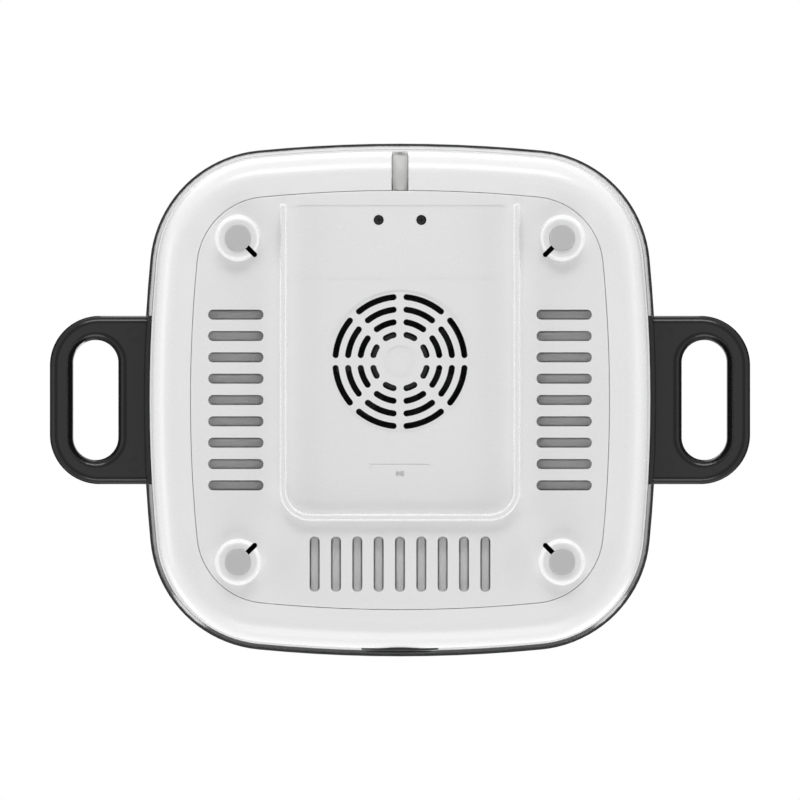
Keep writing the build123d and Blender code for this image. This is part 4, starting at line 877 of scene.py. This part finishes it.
for turn in (0, math.pi / 2):
    bpy.ops.object.select_all(action="DESELECT")
    bpy.ops.mesh.primitive_cube_add(size=1, location=(SCREW_X, SCREW_Y, SCREW_LOW.z),
                                    rotation=(0, 0, turn))
    bar = bpy.context.object
    bar.scale = (RECESS_LENGTH, RECESS_WIDTH, 2 * RECESS_DEPTH)
    bpy.ops.object.transform_apply(location=True, rotation=True, scale=True)
    bpy.ops.object.mode_set(mode="EDIT")
    pick(bar, "faces", lambda face: face.normal.z > NEARLY_LEVEL)
    bpy.ops.transform.resize(value=(RECESS_TAPER, RECESS_TAPER, 1),
                             center_override=(SCREW_X, SCREW_Y, SCREW_LOW.z))
    bpy.ops.object.mode_set(mode="OBJECT")
    cut_away(screw, bar)

bpy.ops.object.select_all(action="DESELECT")
screw.select_set(True)
bpy.ops.object.duplicate(linked=False)
twin = bpy.context.object
start_edit()
bpy.ops.transform.translate(value=(-2 * SCREW_X, 0, 0))
bpy.ops.object.mode_set(mode="OBJECT")
screws = join([screw, twin], "cross_head_screws")
bpy.ops.object.shade_smooth_by_angle(angle=SMOOTH_ANGLE)
screws.data.materials.append(black_oxide)
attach(screws, "base")
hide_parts("clamp_screws")
print("two screws of", len(screws.data.polygons), "faces")

# %% [markdown]
# ## Cord outlet
# The cord leaves through a rubber outlet that fills a slot in the shell's rear edge. Its lower side
# is rounded, so it is bright along the middle and dark along both sides. The CAD solid is flat
# there, so its corners are cut away. A bevel needs clean edges, which a mesh of CAD triangles
# doesn't have, so a cutter does it that follows the shell: a flat section is drawn out along the
# shell's bottom, spun round its edge and drawn up its wall.

# %% Helper that sweeps a section along the shell's lower edge
EDGE_ROUND = 16 * MM
EDGE_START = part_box("base_shell")[1].y - EDGE_ROUND
SWEEP_START = 122 * MM
SWEEP_RISE = 12 * MM
SPIN_STEPS = 12


def sweep_along_edge(section):
    """Draw a flat section out to the edge, spin it round the edge, and draw it up the wall."""
    bpy.ops.object.transform_apply(location=True, rotation=True, scale=True)
    start_edit()
    run = (0, EDGE_START - SWEEP_START, 0)
    bpy.ops.mesh.extrude_region_move(TRANSFORM_OT_translate={"value": run})
    bpy.ops.mesh.spin(steps=SPIN_STEPS, angle=math.pi / 2, axis=(-1, 0, 0),
                      center=(0, EDGE_START, COVER_FACE + EDGE_ROUND))
    bpy.ops.mesh.extrude_region_move(TRANSFORM_OT_translate={"value": (0, 0, SWEEP_RISE)})
    bpy.ops.mesh.select_all(action="SELECT")
    bpy.ops.mesh.remove_doubles(threshold=TINY)
    bpy.ops.mesh.normals_make_consistent(inside=False)
    bpy.ops.object.mode_set(mode="OBJECT")
    return section


print("the edge's round starts at", round(EDGE_START / MM, 1), "mm")

# %% [markdown]
# The cutter is a bar with a round trough. Its two sections, a strip and a disc, take the same way
# round the edge, and the disc's sweep is taken out of the strip's.

# %% Cutter with a round trough
TROUGH_RADIUS = 5.8 * MM
TROUGH_SIDES = 64
STRIP_HALF = 5.6 * MM
STRIP_LOW = COVER_FACE - 1 * MM
STRIP_HIGH = COVER_FACE + 3.6 * MM

bpy.ops.object.select_all(action="DESELECT")
bpy.ops.mesh.primitive_plane_add(size=1, location=(0, SWEEP_START, (STRIP_LOW + STRIP_HIGH) / 2),
                                 rotation=(math.pi / 2, 0, 0))
strip = bpy.context.object
strip.scale = (2 * STRIP_HALF, STRIP_HIGH - STRIP_LOW, 1)
strip = sweep_along_edge(strip)
bpy.ops.object.select_all(action="DESELECT")
bpy.ops.mesh.primitive_circle_add(vertices=TROUGH_SIDES, radius=TROUGH_RADIUS, fill_type="NGON",
                                  location=(0, SWEEP_START, COVER_FACE + TROUGH_RADIUS),
                                  rotation=(math.pi / 2, 0, 0))
disc = sweep_along_edge(bpy.context.object)
cut_away(strip, disc)
print("cutter of", len(strip.data.polygons), "faces")

# %% [markdown]
# The CAD mesh has points of its own for every face. A copy of it is merged into one closed skin
# first, because a Boolean modifier needs to know what is inside.

# %% Round the outlet's lower side
outlet = bpy.data.objects.new("rounded_cord_outlet", nodes["cord_gland"].data.copy())
bpy.context.scene.collection.objects.link(outlet)
bpy.ops.object.select_all(action="DESELECT")
outlet.select_set(True)
bpy.context.view_layer.objects.active = outlet
start_edit()
bpy.ops.mesh.remove_doubles(threshold=TINY)
bpy.ops.object.mode_set(mode="OBJECT")
cut_away(outlet, strip)
bpy.ops.object.shade_smooth_by_angle(angle=SMOOTH_ANGLE)
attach(outlet, "base")
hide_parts("cord_gland")
print("outlet of", len(outlet.data.polygons), "faces")
